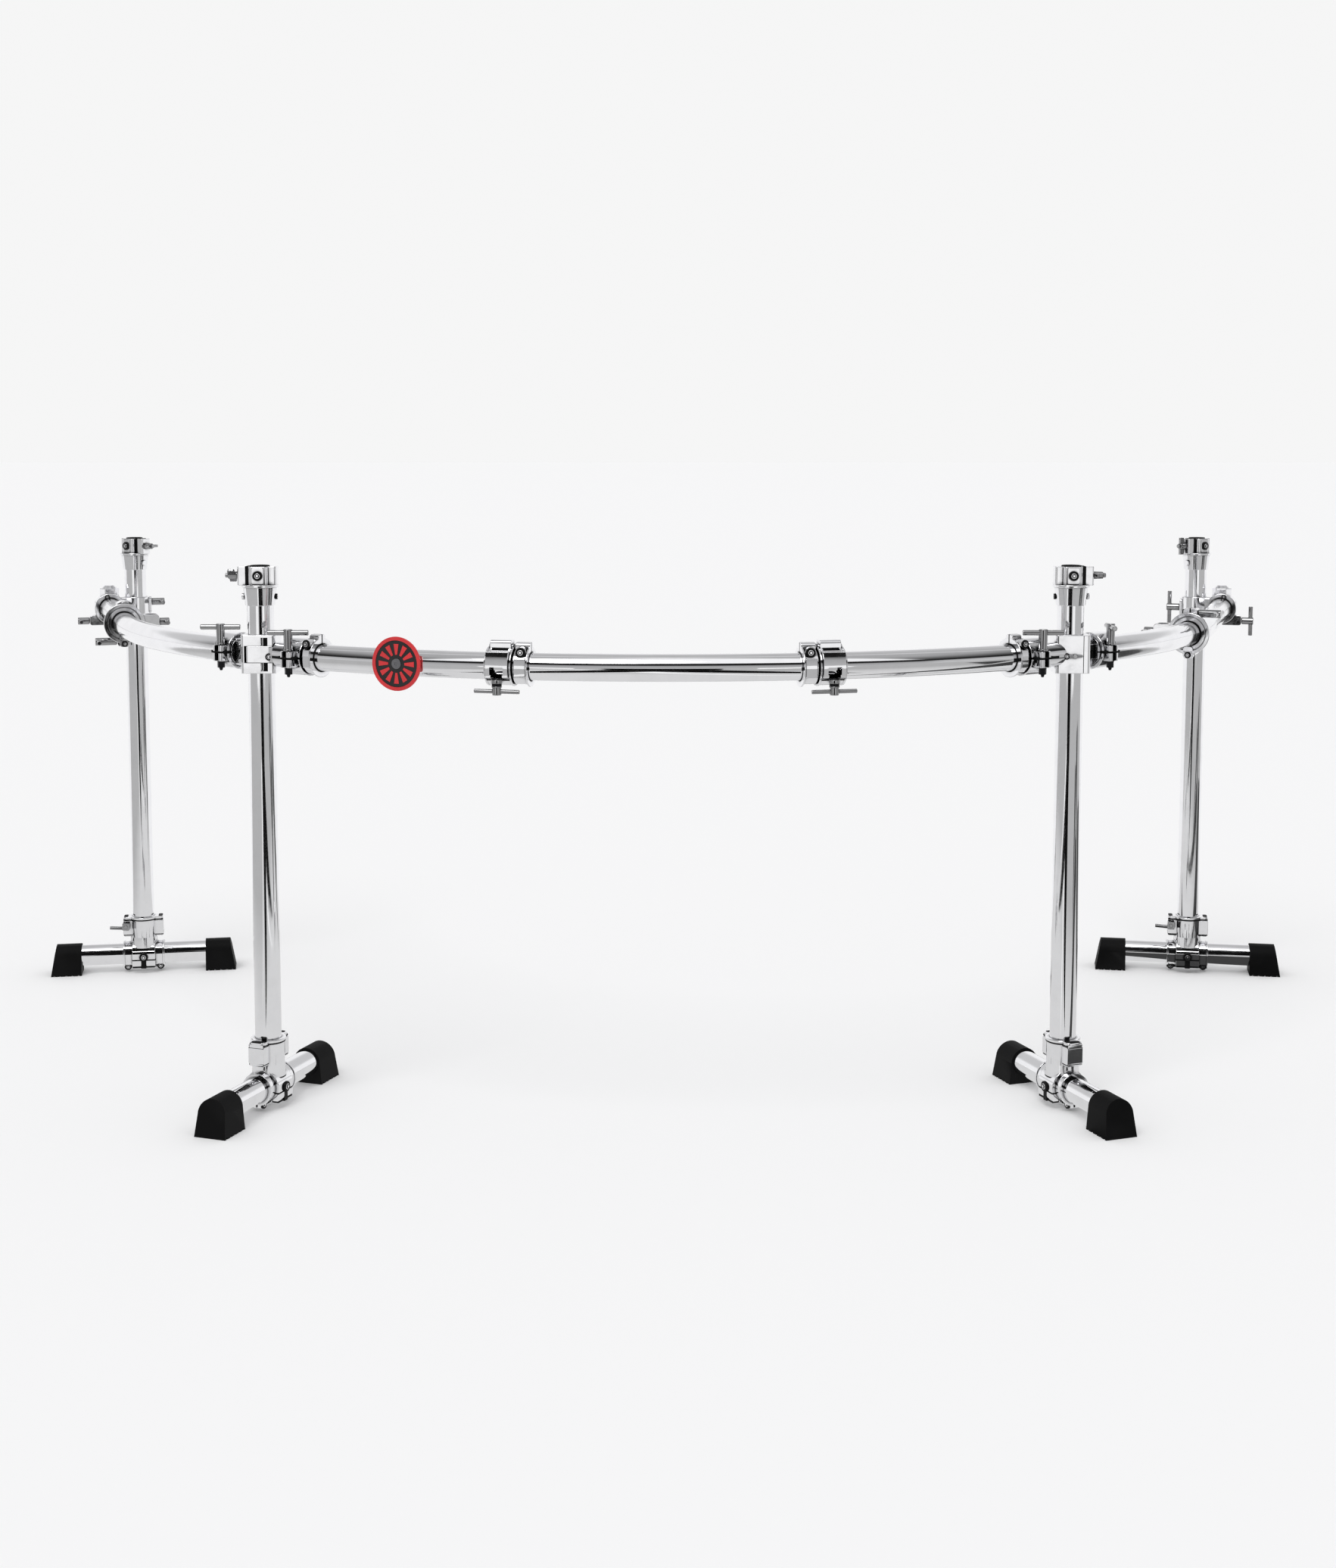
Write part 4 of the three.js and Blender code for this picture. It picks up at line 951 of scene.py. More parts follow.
for hand, side_name in [(-1, "left"), (1, "right")]:
    for half_name, body, heading, side, handle_turn in [
        ("main", "rack", math.pi + front_turn if hand > 0 else -front_turn, -hand, math.pi / 2),
        (
            "wing", f"{side_name}_wing", wing_start if hand > 0 else math.pi - wing_start, hand,
            0 if hand > 0 else math.pi / 2,
        ),
    ]:
        name = f"{side_name}_corner_{half_name}"
        place = corner_place(hand) @ turned(heading)
        squared = turned(-heading)
        start, end, bolt_along = ring_sizes[half_name]
        solids, cutters, liner = ring_parts(side, start, end, bolt_along)
        if (half_name == "wing") == (hand < 0):
            solids.insert(0, moved(square_block(block_half, -block_half_width), squared))
            if half_name == "main":
                solids.append(oval_neck(neck_start, start + neck_overlap))
            else:
                solids.append(rounded_block(
                    (neck_start, -neck_half_width, -neck_half_height),
                    (start + neck_overlap, neck_half_width, neck_half_height), corner=5, axis=0,
                ))
            slot_radius = band_radius + band_gap if hand > 0 else slot_far
            slot_half = band_half + band_gap
            cutters.append(bar_z(-slot_half, slot_half, slot_radius, edge=0, sides=64))
            if hand > 0:
                cutters.append(swing_opening(side))
                # Painted shade: a thin black line on the block's face stands in for a dark line that is only
                # shade.
                face_shade_strips = [rounded_block(
                    (face_line_x - line_half, -block_depth - line_proud, -block_half + line_end),
                    (face_line_x + line_half, -block_depth + line_depth, block_half - line_end), edge=0.15,
                )]
            else:
                # Painted shade: black backs set in the two windows stand in for the shade inside them.
                face_shade_strips = []
                for low_z, high_z in [(window_low, window_high), (-window_high, -window_low)]:
                    window = rounded_block(
                        (window_low_x, -far, low_z), (window_high_x, -window_back, high_z), edge=0,
                    )
                    cutters.append(moved(window, squared))
                    face_shade_strips.append(rounded_block(
                        (window_low_x - 0.5, -window_back - 1, low_z),
                        (window_high_x + 0.5, -window_back + 1, high_z), edge=0,
                    ))
            liner = joined(liner, *[moved(insert, squared) for insert in face_shade_strips])
        else:
            if hand > 0:
                solids.insert(0, bar_z(-band_half, band_half, band_radius, edge=0.8, sides=64))
            else:
                band = square_block(band_half, band_set_back - block_half_width)
                solids.insert(0, moved(band, squared))
                # Painted shade: a black strip along the band's end stands in for the shade in the slot gap
                # there.
                band_edge_shade = rounded_block(
                    (border_low_x, -border_front, -band_half + line_end),
                    (border_high_x, -border_back, band_half - line_end), edge=0.3,
                )
                liner = joined(liner, moved(band_edge_shade, squared))
            solids.append(rounded_block(
                (arm_start, 1 - band_half, 1 - band_half),
                (start + neck_overlap, band_half - 1, band_half - 1),
            ))
            if half_name == "main":
                solids.append(oval_neck(oval_start, start + neck_overlap))
        if half_name == "main":
            oval_front = oval_half_height * oval_depth_share
            # Painted shade: a black strip along the neck stands in for the dark line of the slot there.
            liner = joined(liner, rounded_block(
                (slot_line_start, -side * (oval_front - 4), slot_line_low),
                (start + 1, -side * (oval_front + 0.3), slot_line_high), edge=0.2,
            ))
        else:
            plate_radius = liner_radius + plate_lip
            solids.append(bar_x(start - plate_start, start + plate_end, plate_radius, edge=0.3, sides=64))
        casting = drilled(fused(*solids), *cutters, post_hole())
        dressed(copied(casting, place), f"{name}_half_casting", cast_chrome, body, f"{name}_half")
        # The liner object also carries the painted shade strips.
        dressed(copied(liner, place), f"{name}_half_liner", black_nylon_and_shade, body)
        put_away(casting, liner)
        seat = shifted(bolt_along, -side * bolt_offset, 0)
        add_t_handle(f"{name}_handle", place @ seat @ turned(handle_turn - heading), f"{name}_handle")
left_front, right_front = corner_place(-1), corner_place(1)
screw_at, screw_size = left_screw
add_key_screws("left_corner_band", "rack", facing(left_front, screw_at, (0, -1, 0), screw_size))
add_key_screws(
    "right_corner_fork", "rack", *[facing(right_front, at, (0, -1, 0), size) for at, size in right_screws],
)
latch = fused(
    round_bar(latch_root, latch_tip, 2.7, 1.5, edge=0.5),
    bar_y(1 - block_depth, -block_depth - 3.6, latch_pin_radius, x=latch_pin_x, z=latch_pin_z, edge=0.7),
)
dressed(moved(latch, right_front), "right_corner_latch", handle_chrome, "rack")

# A wing rail runs back from each corner clamp: a tube of the same size and bend that goes
# straight near its end. Its plating is a little softer, and a black plug closes the end.
wing_bend_angle = math.radians(32.5)
wing_bend_length = bow_radius * wing_bend_angle
wing_rail_start, wing_rail_end = 42.3, 941.5
wing_steps = 90
plug_depth, plug_proud, plug_radius = 6, 1.6, 17
wing_chrome_colour = (0.94, 0.94, 0.955, 1)
wing_chrome = chrome("wing_chrome", wing_chrome_colour, 0.10, 0.17, 30, 0.03, 26)


def wing_base(hand):
    return corner_place(hand) @ turned(wing_start if hand > 0 else math.pi - wing_start)


def on_wing(hand, along):
    past_bend = max(0, along - wing_bend_length)
    return wing_base(hand) @ on_curve(hand, min(along, wing_bend_length)) @ shifted(past_bend, 0, 0)


for hand, side_name in [(-1, "left"), (1, "right")]:
    end_place = on_wing(hand, wing_rail_end)
    bpy.ops.mesh.primitive_circle_add(vertices=tube_sides, radius=tube_radius)
    first_ring = on_wing(hand, wing_rail_start) @ turned(math.pi / 2, "Y")
    wing_rail = moved(bpy.context.active_object, first_ring)
    bend = {
        "steps": wing_steps,
        "angle": -hand * (wing_bend_angle - wing_rail_start / bow_radius),
        "center": wing_base(hand) @ Vector((0, hand * rail_radius, 0)),
        "axis": (0, 0, 1),
    }
    run = end_place.translation - on_wing(hand, wing_bend_length).translation
    straight = {"TRANSFORM_OT_translate": {"value": run}}
    edited(wing_rail, (bpy.ops.mesh.spin, bend), (bpy.ops.mesh.extrude_region_move, straight))
    name = f"{side_name}_wing_rail"
    dressed(walled(wing_rail), f"{name}_tube", wing_chrome, f"{side_name}_wing", name)
    plug = moved(bar_x(-plug_depth, plug_proud, plug_radius, edge=0.8), end_place)
    dressed(plug, f"{name}_plug", black_nylon_and_shade, f"{side_name}_wing")

# A clamp on each wing rail holds an arm on the drummer's side. Its two jaws close round the
# rail with a T-handle bolt on the outer side, and a second one clamps the arm in its holder.
wing_clamp_alongs = {"left": 592, "right": 400}
wing_clamp_radius = 26.6
wing_hinge_top, wing_hinge_half, wing_lug_foot, wing_lug_half, wing_jaw_depth = 36, 13, 39, 11, 11
wing_pin_half, wing_pin_height, wing_pin_radius = 16, 30, 5.2
jaw_split_from, jaw_split_to, jaw_split_end, jaw_split_half = 12, 30, 60, 1.2
jaw_line_half, jaw_line_from, jaw_line_inset = 9.5, 22, 2
wing_bolt_drop, wing_bolt_in, wing_bolt_out = 31, 11.4, 46
holder_reach, holder_half, holder_bore, holder_bolt_out, holder_gap = 58, 13, 9.6, 12, 0.3
fixed_barrel_radius, barrel_end = 6.4, 5
flange_set_back, flange_length = 2, 5
wing_flange_radius, wing_mouth_radius, wing_mouth_depth = 33, 28, 2.6
tab_half, tab_length, tab_top, tab_foot = 8, 8, 20, 5.5
wing_screw_drop, wing_screw_x = 34, 6
wing_screws = (-wing_screw_x, -33, 3.8), (wing_screw_x, 29, 3.8)
flange_screw = 4.2


def fixed_bolt(start, end, rod, z):
    return fused(
        bar_y(start, end, fixed_barrel_radius, z=z, edge=1),
        bar_x(-cross_rod_half, cross_rod_half, cross_rod_radius, y=rod, z=z, edge=1),
    )


for hand, side_name in [(-1, "left"), (1, "right")]:
    flip = -hand
    place = on_wing(hand, wing_clamp_alongs[side_name])
    name = f"{side_name}_wing_clamp"
    outer_end = -hand * wing_bolt_out
    holder_end = hand * (holder_reach + holder_bolt_out)
    flange_end = -clamp_half - flange_set_back
    flange = drilled(
        bar_x(flange_end, flange_end + flange_length, wing_flange_radius, edge=1, sides=64),
        bar_x(-past, flange_end + wing_mouth_depth, wing_mouth_radius, edge=0, sides=64),
    )
    casting = fused(
        bar_x(-clamp_half, clamp_half, wing_clamp_radius, edge=1, sides=64),
        rounded_block(
            (-wing_lug_half, -wing_jaw_depth, 0), (wing_lug_half, wing_jaw_depth, -flip * wing_lug_foot),
            corner=5, axis=0,
        ),
        rounded_block(
            (-wing_hinge_half, -wing_jaw_depth, 0),
            (wing_hinge_half, wing_jaw_depth, flip * wing_hinge_top), corner=8, axis=0,
        ),
        rounded_block(
            (-holder_half, 0, -holder_half), (holder_half, hand * holder_reach, holder_half),
            edge=1, corner=6, axis=0,
        ),
        bar_x(-wing_pin_half, wing_pin_half, wing_pin_radius, z=flip * wing_pin_height, edge=0.8),
        flange,
        rounded_block(
            (flange_end, -tab_half, -wing_screw_drop - tab_foot),
            (tab_length - clamp_half, tab_half, -tab_top), edge=0.9, corner=5, axis=0,
        ),
    )
    casting = drilled(
        casting,
        rail_hole(),
        rounded_block(
            (-jaw_split_from, -jaw_split_half, -flip * jaw_split_from),
            (jaw_split_to, jaw_split_half, -flip * jaw_split_end), edge=0,
        ),
        bar_z(-40, 40, holder_bore, y=hand * (holder_reach - holder_half), edge=0),
    )
    bolts = joined(
        fixed_bolt(-hand * wing_bolt_in, outer_end, outer_end + hand * barrel_end, -flip * wing_bolt_drop),
        fixed_bolt(hand * (holder_reach + holder_gap), holder_end + hand * barrel_end, holder_end, 0),
    )
    # Painted shade: a black strip set in the split between the jaws stands in for the shade in that gap, and
    # is joined to the liner.
    liner = joined(lined(clamp_half + liner_proud), rounded_block(
        (-jaw_line_half, -1.1, -flip * jaw_line_from),
        (jaw_line_half, 1.1, -flip * (wing_lug_foot - jaw_line_inset)), edge=0.2,
    ))
    dressed(moved(casting, place), f"{name}_casting", cast_chrome, name, name)
    dressed(moved(bolts, place), f"{name}_bolts", handle_chrome, name)
    dressed(moved(liner, place), f"{name}_liner", black_nylon_and_shade, name)
    screws = [
        facing(place, (x, hand * wing_jaw_depth, flip * height), (0, hand, 0), size)
        for x, height, size in wing_screws
    ]
    screws.append(facing(place, (flange_end, 0, -wing_screw_drop), (-1, 0, 0), flange_screw))
    add_key_screws(name, name, *screws)

# A right-angle clamp joins each wing rail to its rear post: a split collar round the post,
# a ring round the rail beside it, a domed hinge cap on top, and two T-handle bolts.
rear_along, rear_offset = 896.5, 46
rear_collar_radius, rear_collar_half = 24.5, 20
rear_ring_radius, rear_ring_half = 27, 17
rear_lug_half, rear_lug_in, rear_lug_out, rear_lug_half_height = 10, 12, 27, 15
rear_bolt_start, rear_bolt_gap, rear_barrel_length, rear_rod_inset = 22, 0.3, 23, 5
rear_hinge_half, rear_hinge_top, rear_cap_height, rear_cap_top = 17, 41, 6, 8
rear_bolt_rises = {"left": 10, "right": 0}
outer_lug_half, outer_lug_out, outer_lug_low, outer_lug_high = 9, 36, -30, -12
outer_bolt_drop, outer_barrel_length, outer_rod_half, outer_gap = 22, 20, 26, 0.2
rear_screw_y, rear_screw_z, rear_screw = 5, 21, 3.6


def rear_place(hand):
    return on_wing(hand, rear_along) @ shifted(0, hand * rear_offset, 0)


for hand, side_name in [(-1, "left"), (1, "right")]:
    place = rear_place(hand)
    rise = rear_bolt_rises[side_name]
    name, wing = f"{side_name}_rear_clamp", f"{side_name}_wing"
    rail_y = -hand * rear_offset
    casting = fused(
        bar_z(-rear_collar_half, rear_collar_half, rear_collar_radius, edge=1.2, sides=64),
        bar_x(-rear_ring_half, rear_ring_half, rear_ring_radius, y=rail_y, edge=1.2, sides=64),
        rounded_block(
            (-rear_ring_half, 0, -rear_collar_half), (rear_ring_half, rail_y, rear_collar_half),
            edge=1, corner=5, axis=1,
        ),
        rounded_block(
            (-rear_lug_half, hand * rear_lug_in, rise / 2 - rear_lug_half_height),
            (rear_lug_half, hand * rear_lug_out, rise / 2 + rear_lug_half_height), edge=1, corner=4, axis=1,
        ),
        bar_z(0, rear_hinge_top - 5, rear_hinge_half, y=rail_y, edge=1, sides=6),
        bar_z(
            rear_hinge_top - rear_cap_height, rear_hinge_top, rear_hinge_half - 2, rear_cap_top,
            y=rail_y, edge=1.5,
        ),
        rounded_block(
            (-outer_lug_half, rail_y, outer_lug_low),
            (outer_lug_half, rail_y - hand * outer_lug_out, outer_lug_high), edge=1, corner=5, axis=0,
        ),
    )
    casting = drilled(casting, post_hole(), rail_hole(y=rail_y))
    liner = moved(lined(rear_ring_half + liner_proud), shifted(0, rail_y, 0))
    dressed(moved(casting, place), f"{name}_casting", cast_chrome, wing, name)
    dressed(moved(liner, place), f"{name}_liner", black_nylon_and_shade, wing)
    end = rear_lug_out + rear_bolt_gap + rear_barrel_length
    handle = fused(
        bar_z(rear_lug_out + rear_bolt_gap, end, barrel_radius, edge=1.1),
        bar_y(-cross_rod_half, cross_rod_half, cross_rod_radius, z=end - rear_rod_inset, edge=1.1),
        bar_z(rear_bolt_start, rear_lug_out + 1, shaft_radius, edge=0),
    )
    turn = turned(-hand * math.pi / 2, "X") @ turned(0 if hand > 0 else math.pi / 2)
    handle = moved(handle, place @ shifted(0, 0, rise) @ turn)
    dressed(handle, f"{name}_handle_bolt", handle_chrome, f"{name}_handle", f"{name}_handle")
    outer_start = rail_y - hand * (outer_lug_out + outer_gap)
    outer_end = outer_start - hand * outer_barrel_length
    rod_middle = Vector((0, outer_end + hand * rear_rod_inset, -outer_bolt_drop))
    rod_run = Vector((0, 0, outer_rod_half)) if hand > 0 else Vector((outer_rod_half, 0, 0))
    outer = fused(
        bar_y(outer_start, outer_end, barrel_radius, z=-outer_bolt_drop, edge=1.1),
        round_bar(rod_middle - rod_run, rod_middle + rod_run, cross_rod_radius, edge=1.1),
    )
    screw_at = (-rear_ring_half, rail_y - hand * rear_screw_y, rear_screw_z)
    add_key_screws(name, wing, facing(place, screw_at, (-1, 0, 0), rear_screw))
    dressed(moved(outer, place), f"{name}_outer_bolt", handle_chrome, wing)

# Four upright posts of the same tube stand in the corner and rear clamps. They are cut
# square, and both of their ends are hidden in the castings above and below them.
post_bottom, post_cut_top, post_top = 58.5, 759.5, 763.5
foot_angles = {"front": math.radians(70), "rear": math.radians(10)}
uprights = []
for hand, side_name in [(-1, "left"), (1, "right")]:
    rear = rear_place(hand).translation
    for row, x, y in [("front", hand * front_post_x, front_post_y), ("rear", rear.x, rear.y)]:
        post_place = Matrix.Translation((x, y, 0))
        leg_turn = -foot_angles[row] if hand > 0 else math.pi + foot_angles[row]
        uprights.append((f"{row}_{side_name}", row, hand, post_place, post_place @ turned(leg_turn)))


def straight_tube(first_ring, run, place):
    bpy.ops.mesh.primitive_circle_add(vertices=tube_sides, radius=tube_radius)
    tube = moved(bpy.context.active_object, first_ring)
    length = {"TRANSFORM_OT_translate": {"value": Vector(run) * mm}}
    edited(tube, (bpy.ops.mesh.extrude_region_move, length))
    return walled(moved(tube, place))


for upright, row, hand, post_place, leg_place in uprights:
    post = straight_tube(shifted(0, 0, post_bottom), (0, 0, post_cut_top - post_bottom), post_place)
    dressed(post, f"{upright}_post_tube", tube_chrome, f"{upright}_upright", f"{upright}_post")

# A cast socket caps each post. It has a tapered sleeve, a thin flange, and a split collar
# lined with a black bushing, which a ribbed wing bolt closes round the arm's shaft.
sleeve_bottom, sleeve_bottom_radius, sleeve_top_radius = 737.5, 21, 24
flange_radius, flange_thickness = 26, 4
collar_height, collar_half, collar_depth = 26, 13.9, 18
ear_in, ear_out, ear_depth = -25, 31.2, 10
pad_width, pad_out = 8.5, 1.2
boss_start, boss_end, boss_radius, boss_height = 22.5, 26.2, 4.6, 750
split_width = 5.5
bush_radius, bush_rise, bush_bore, bush_gap, bush_key = 14.3, 1.5, 13, 0.4, 3
wing_bolt_height = 780.5
wing_face, wing_hub_length, wing_hub_radius = 31.5, 14, 5.6
wing_spread, blade_half, blade_foot, blade_top = 14.5, 1.8, 3, 13.5
wing_rib_count, rib_half, rib_start, rib_foot, rib_step, rib_height = 5, 2.3, 5, 4.6, 1.9, 0.9
wing_turns = {"front_left": 35, "front_right": 0, "rear_left": 0, "rear_right": 90}
rear_socket_turn = math.radians(35)
collar_screw, sleeve_screw, sleeve_screw_out = 6, 3.6, 23
collar_foot = post_top + flange_thickness
collar_top = collar_foot + collar_height
socket = fused(
    bar_z(sleeve_bottom, post_top + 1, sleeve_bottom_radius, sleeve_top_radius, edge=0.7, sides=64),
    bar_z(post_top, collar_foot, flange_radius, edge=0.9, sides=64),
    rounded_block(
        (-collar_half, -collar_depth, collar_foot - 1), (collar_half, collar_depth, collar_top), corner=5,
    ),
    rounded_block((ear_in, -ear_depth, collar_foot - 1), (ear_out, ear_depth, collar_top), corner=3),
    rounded_block(
        (-pad_width, -collar_depth - pad_out, collar_foot + 1), (pad_width, 0, collar_top - 1.5),
        edge=0.7, corner=2, axis=1,
    ),
    bar_x(boss_start, boss_end, boss_radius, z=boss_height, edge=0.5),
)
socket = drilled(
    socket,
    rounded_block((collar_half, -40, collar_foot), (collar_half + split_width, 40, collar_top + 9), edge=0),
    bar_z(post_top, collar_top + 9, bush_radius + 0.3, edge=0, sides=64),
    post_hole(sleeve_bottom - 9, post_cut_top + 0.3),
    bar_z(sleeve_bottom - 9, collar_top, bush_bore, edge=0, sides=64),
    bar_x(10, 60, shaft_radius + 0.6, z=wing_bolt_height, edge=0),
)
# The bushing is black nylon. The black block set in the collar's split is painted shade, standing in for the
# shade in that gap.
bushing = fused(
    bar_z(post_top + bush_gap, collar_top + bush_rise, bush_radius, edge=0.5, sides=64),
    rounded_block(
        (collar_half + bush_gap, -ear_depth - bush_gap, collar_foot + bush_gap),
        (collar_half + split_width - bush_gap, ear_depth + bush_gap, collar_top + 0.5), edge=0.4,
    ),
    rounded_block((0, -bush_key, collar_foot + 2), (collar_half + 1, bush_key, collar_top), edge=0.2),
)
bushing = drilled(bushing, bar_z(post_top - 9, collar_top + 9, bush_bore, edge=0, sides=64))
hub_end = wing_face + wing_hub_length
wing_bolt = bar_z(wing_face, hub_end, wing_hub_radius, wing_hub_radius - 0.5, edge=0.8)
for blade_turn in (math.pi, 0):
    blade = rounded_block(
        (-blade_half, 0, wing_face + blade_foot), (blade_half, wing_spread, wing_face + blade_top),
        edge=0.5, corner=3, axis=0,
    )
    for rib in range(wing_rib_count):
        height = wing_face + rib_foot + rib * rib_step
        blade = fused(blade, rounded_block(
            (-rib_half, rib_start, height), (rib_half, wing_spread + 0.5, height + rib_height), edge=0.25,
        ))
    wing_bolt = fused(wing_bolt, moved(blade, turned(blade_turn)))
wing_bolt = fused(
    wing_bolt,
    bar_z(20, wing_face + 1, shaft_radius, edge=0),
    bar_z(wing_face, hub_end + 4, shaft_radius, edge=0.8),
)
for upright, row, hand, post_place, leg_place in uprights:
    bolt_side = hand if row == "front" else -hand
    base = post_place @ turned(0 if row == "front" else hand * rear_socket_turn)
    mirrored = base @ Matrix.Diagonal((bolt_side, 1, 1, 1))
    body, name, screw = f"{upright}_upright", f"{upright}_socket", f"{upright}_wing"
    dressed(copied(socket, mirrored), f"{name}_casting", cast_chrome, body, f"{name}_clamp")
    dressed(copied(bushing, mirrored), f"{name}_liner", black_nylon_and_shade, body, f"{name}_bushing")
    add_key_screws(
        name, body,
        facing(base, (0, -collar_depth - pad_out, wing_bolt_height), (0, -1, 0), collar_screw),
        facing(base, (-bolt_side * sleeve_screw_out, 0, boss_height), (-bolt_side, 0, 0), sleeve_screw),
    )
    pointing = turned(bolt_side * math.pi / 2, "Y") @ turned(math.radians(wing_turns[upright]))
    bolt = copied(wing_bolt, base @ shifted(0, 0, wing_bolt_height) @ pointing)
    dressed(bolt, f"{screw}_screw", handle_chrome, f"{screw}_bolt", f"{screw}_bolt")
put_away(socket, bushing, wing_bolt)

# Each post stands in a cast foot clamp. Its split sleeve closes with a lever bolt, a saddle
# holds the foot tube, and two collars beside it lock the tube with small key screws.
foot_height, foot_half = 32.5, 150
leg_top, leg_rim, leg_sleeve_radius, leg_rim_radius = 102.5, 4, 23.5, 25.5
leg_ear_out, leg_ear_half, leg_ear_bottom, leg_ear_lip = 35.5, 11.5, 66.5, 1.5
ear_plate_in, ear_plate_proud, ear_plate_half, ear_plate_low, ear_plate_high = 14.5, 0.4, 12.8, 70, 95.4
saddle_radius, saddle_half = 26.6, 20.5
saddle_face, saddle_low, saddle_high = 27.6, 10, 43.5
side_collar_radius, side_collar_out, side_rim, side_rim_lip = 22.8, 36.5, 3, 1.2
leg_lug_half, leg_lug_bottom = 6.5, 5.5
leg_slot_heights, leg_slot_half, leg_slot_in, leg_slot_out = (25, 12), 1.2, 17, 40
leg_split = 1.5
skirt_radius, skirt_foot, skirt_top = 25.4, 46, 66
leg_bore_top = 160
jaw_line_radius, jaw_filler_half, jaw_filler_width, jaw_filler_top = 19.2, 35, 1.4, 14
saddle_line_half, saddle_line_in, saddle_line_low, saddle_line_high = 4.6, 20, 9.5, 24
collar_line_low, collar_line_high, collar_line_lip = 96.4, 98.8, 1.2
rim_line_half, rim_line_high = 12.2, 98.6
ear_top_in, ear_top_half, ear_top_foot = 27, 9.5, 99
ear_line_in, ear_line_half, ear_line_low, ear_line_high = 21, 12.1, 68.4, 70.4
leg_key_height, leg_key = 30.5, 6.6
lug_screw_along, lug_screw_height, lug_screw = 29, 9.5, 5.4
leg = fused(
    bar_z(foot_height, leg_top, leg_sleeve_radius, edge=0.8, sides=64),
    bar_z(leg_top - leg_rim, leg_top, leg_rim_radius, edge=0.9, sides=64),
    rounded_block(
        (-leg_ear_out, -leg_ear_half - leg_ear_lip, leg_top - leg_rim - 0.5),
        (leg_ear_out, leg_ear_half + leg_ear_lip, leg_top), edge=0.9, corner=7,
    ),
    rounded_block(
        (-leg_ear_out, -leg_ear_half, leg_ear_bottom), (leg_ear_out, leg_ear_half, leg_top - 1),
        edge=0.9, corner=3, axis=1,
    ),
    bar_x(-saddle_half, saddle_half, saddle_radius, z=foot_height, edge=1.2, sides=64),
    bar_x(-side_collar_out, side_collar_out, side_collar_radius, z=foot_height, edge=0.9, sides=64),
    rounded_block(
        (-side_collar_out, -leg_lug_half, leg_lug_bottom), (side_collar_out, leg_lug_half, foot_height),
    ),
    rounded_block(
        (-saddle_half, -saddle_face, saddle_low), (saddle_half, saddle_face, saddle_high),
        edge=1, corner=8, axis=0,
    ),
    bar_z(skirt_foot, skirt_top, skirt_radius, leg_sleeve_radius, edge=0.8, sides=64),
)
side_rim_radius, side_rim_in = side_collar_radius + side_rim_lip, side_collar_out - side_rim
for start, end in [(-side_collar_out, -side_rim_in), (side_rim_in, side_collar_out)]:
    leg = fused(leg, bar_x(start, end, side_rim_radius, z=foot_height, edge=0.7, sides=64))
for side in (-1, 1):
    leg = fused(leg, rounded_block(
        (side * ear_plate_in, -ear_plate_half, ear_plate_low),
        (side * (leg_ear_out + ear_plate_proud), ear_plate_half, ear_plate_high),
        edge=0.6, corner=2, axis=1,
    ))
leg_cutters = [
    post_hole(post_bottom - 0.3, leg_bore_top),
    bar_x(-past, past, post_bore, z=foot_height, edge=0, sides=64),
    rounded_block((-past, -leg_split, -9), (past, leg_split, foot_height), edge=0),
]
# Painted shade: these black strips stand in for dark lines that are only shade, in the leg's split and saddle
# slots, on the saddle faces, round the foot of the skirt, under the rim, on top of the ears and below the ear
# plates.
leg_shade_strips = [rounded_block(
    (-jaw_filler_half, -jaw_filler_width, leg_lug_bottom + 1),
    (jaw_filler_half, jaw_filler_width, jaw_filler_top), edge=0.2,
)]
for side in (-1, 1):
    for slot_height in leg_slot_heights:
        leg_cutters.append(rounded_block(
            (-saddle_half - 1, side * leg_slot_in, slot_height - leg_slot_half),
            (saddle_half + 1, side * leg_slot_out, slot_height + leg_slot_half), edge=0,
        ))
        leg_shade_strips.append(rounded_block(
            (-saddle_half + 1, side * leg_slot_in, slot_height - leg_slot_half - 0.1),
            (saddle_half - 1, side * (saddle_face - 1.2), slot_height + leg_slot_half + 0.1), edge=0,
        ))
    leg_shade_strips.append(rounded_block(
        (-saddle_line_half, side * saddle_line_in, saddle_line_low),
        (saddle_line_half, side * (saddle_face + 0.3), saddle_line_high), edge=0.4,
    ))
leg = drilled(leg, *leg_cutters)
leg_shade_strips += [
    bar_z(skirt_foot - 1.6, skirt_foot + 1, skirt_radius - 0.3, edge=0.2, sides=64),
    bar_z(collar_line_low, collar_line_high, leg_sleeve_radius + collar_line_lip, edge=0.2, sides=64),
    rounded_block(
        (-leg_ear_out + 0.3, -rim_line_half, collar_line_low),
        (leg_ear_out - 0.3, rim_line_half, rim_line_high), edge=0.2,
    ),
]
for side in (-1, 1):
    leg_shade_strips.append(rounded_block(
        (side * ear_top_in, -ear_top_half, ear_top_foot),
        (side * (leg_ear_out - 1.2), ear_top_half, leg_top + 0.4), edge=0.2, corner=3,
    ))
    leg_shade_strips.append(rounded_block(
        (side * ear_line_in, -ear_line_half, ear_line_low),
        (side * (leg_ear_out - 0.2), ear_line_half, ear_line_high), edge=0.2,
    ))
leg_shade_lines = drilled(
    fused(*leg_shade_strips),
    post_hole(60, leg_bore_top),
    bar_x(-past, past, jaw_line_radius, z=foot_height, edge=0, sides=64),
)
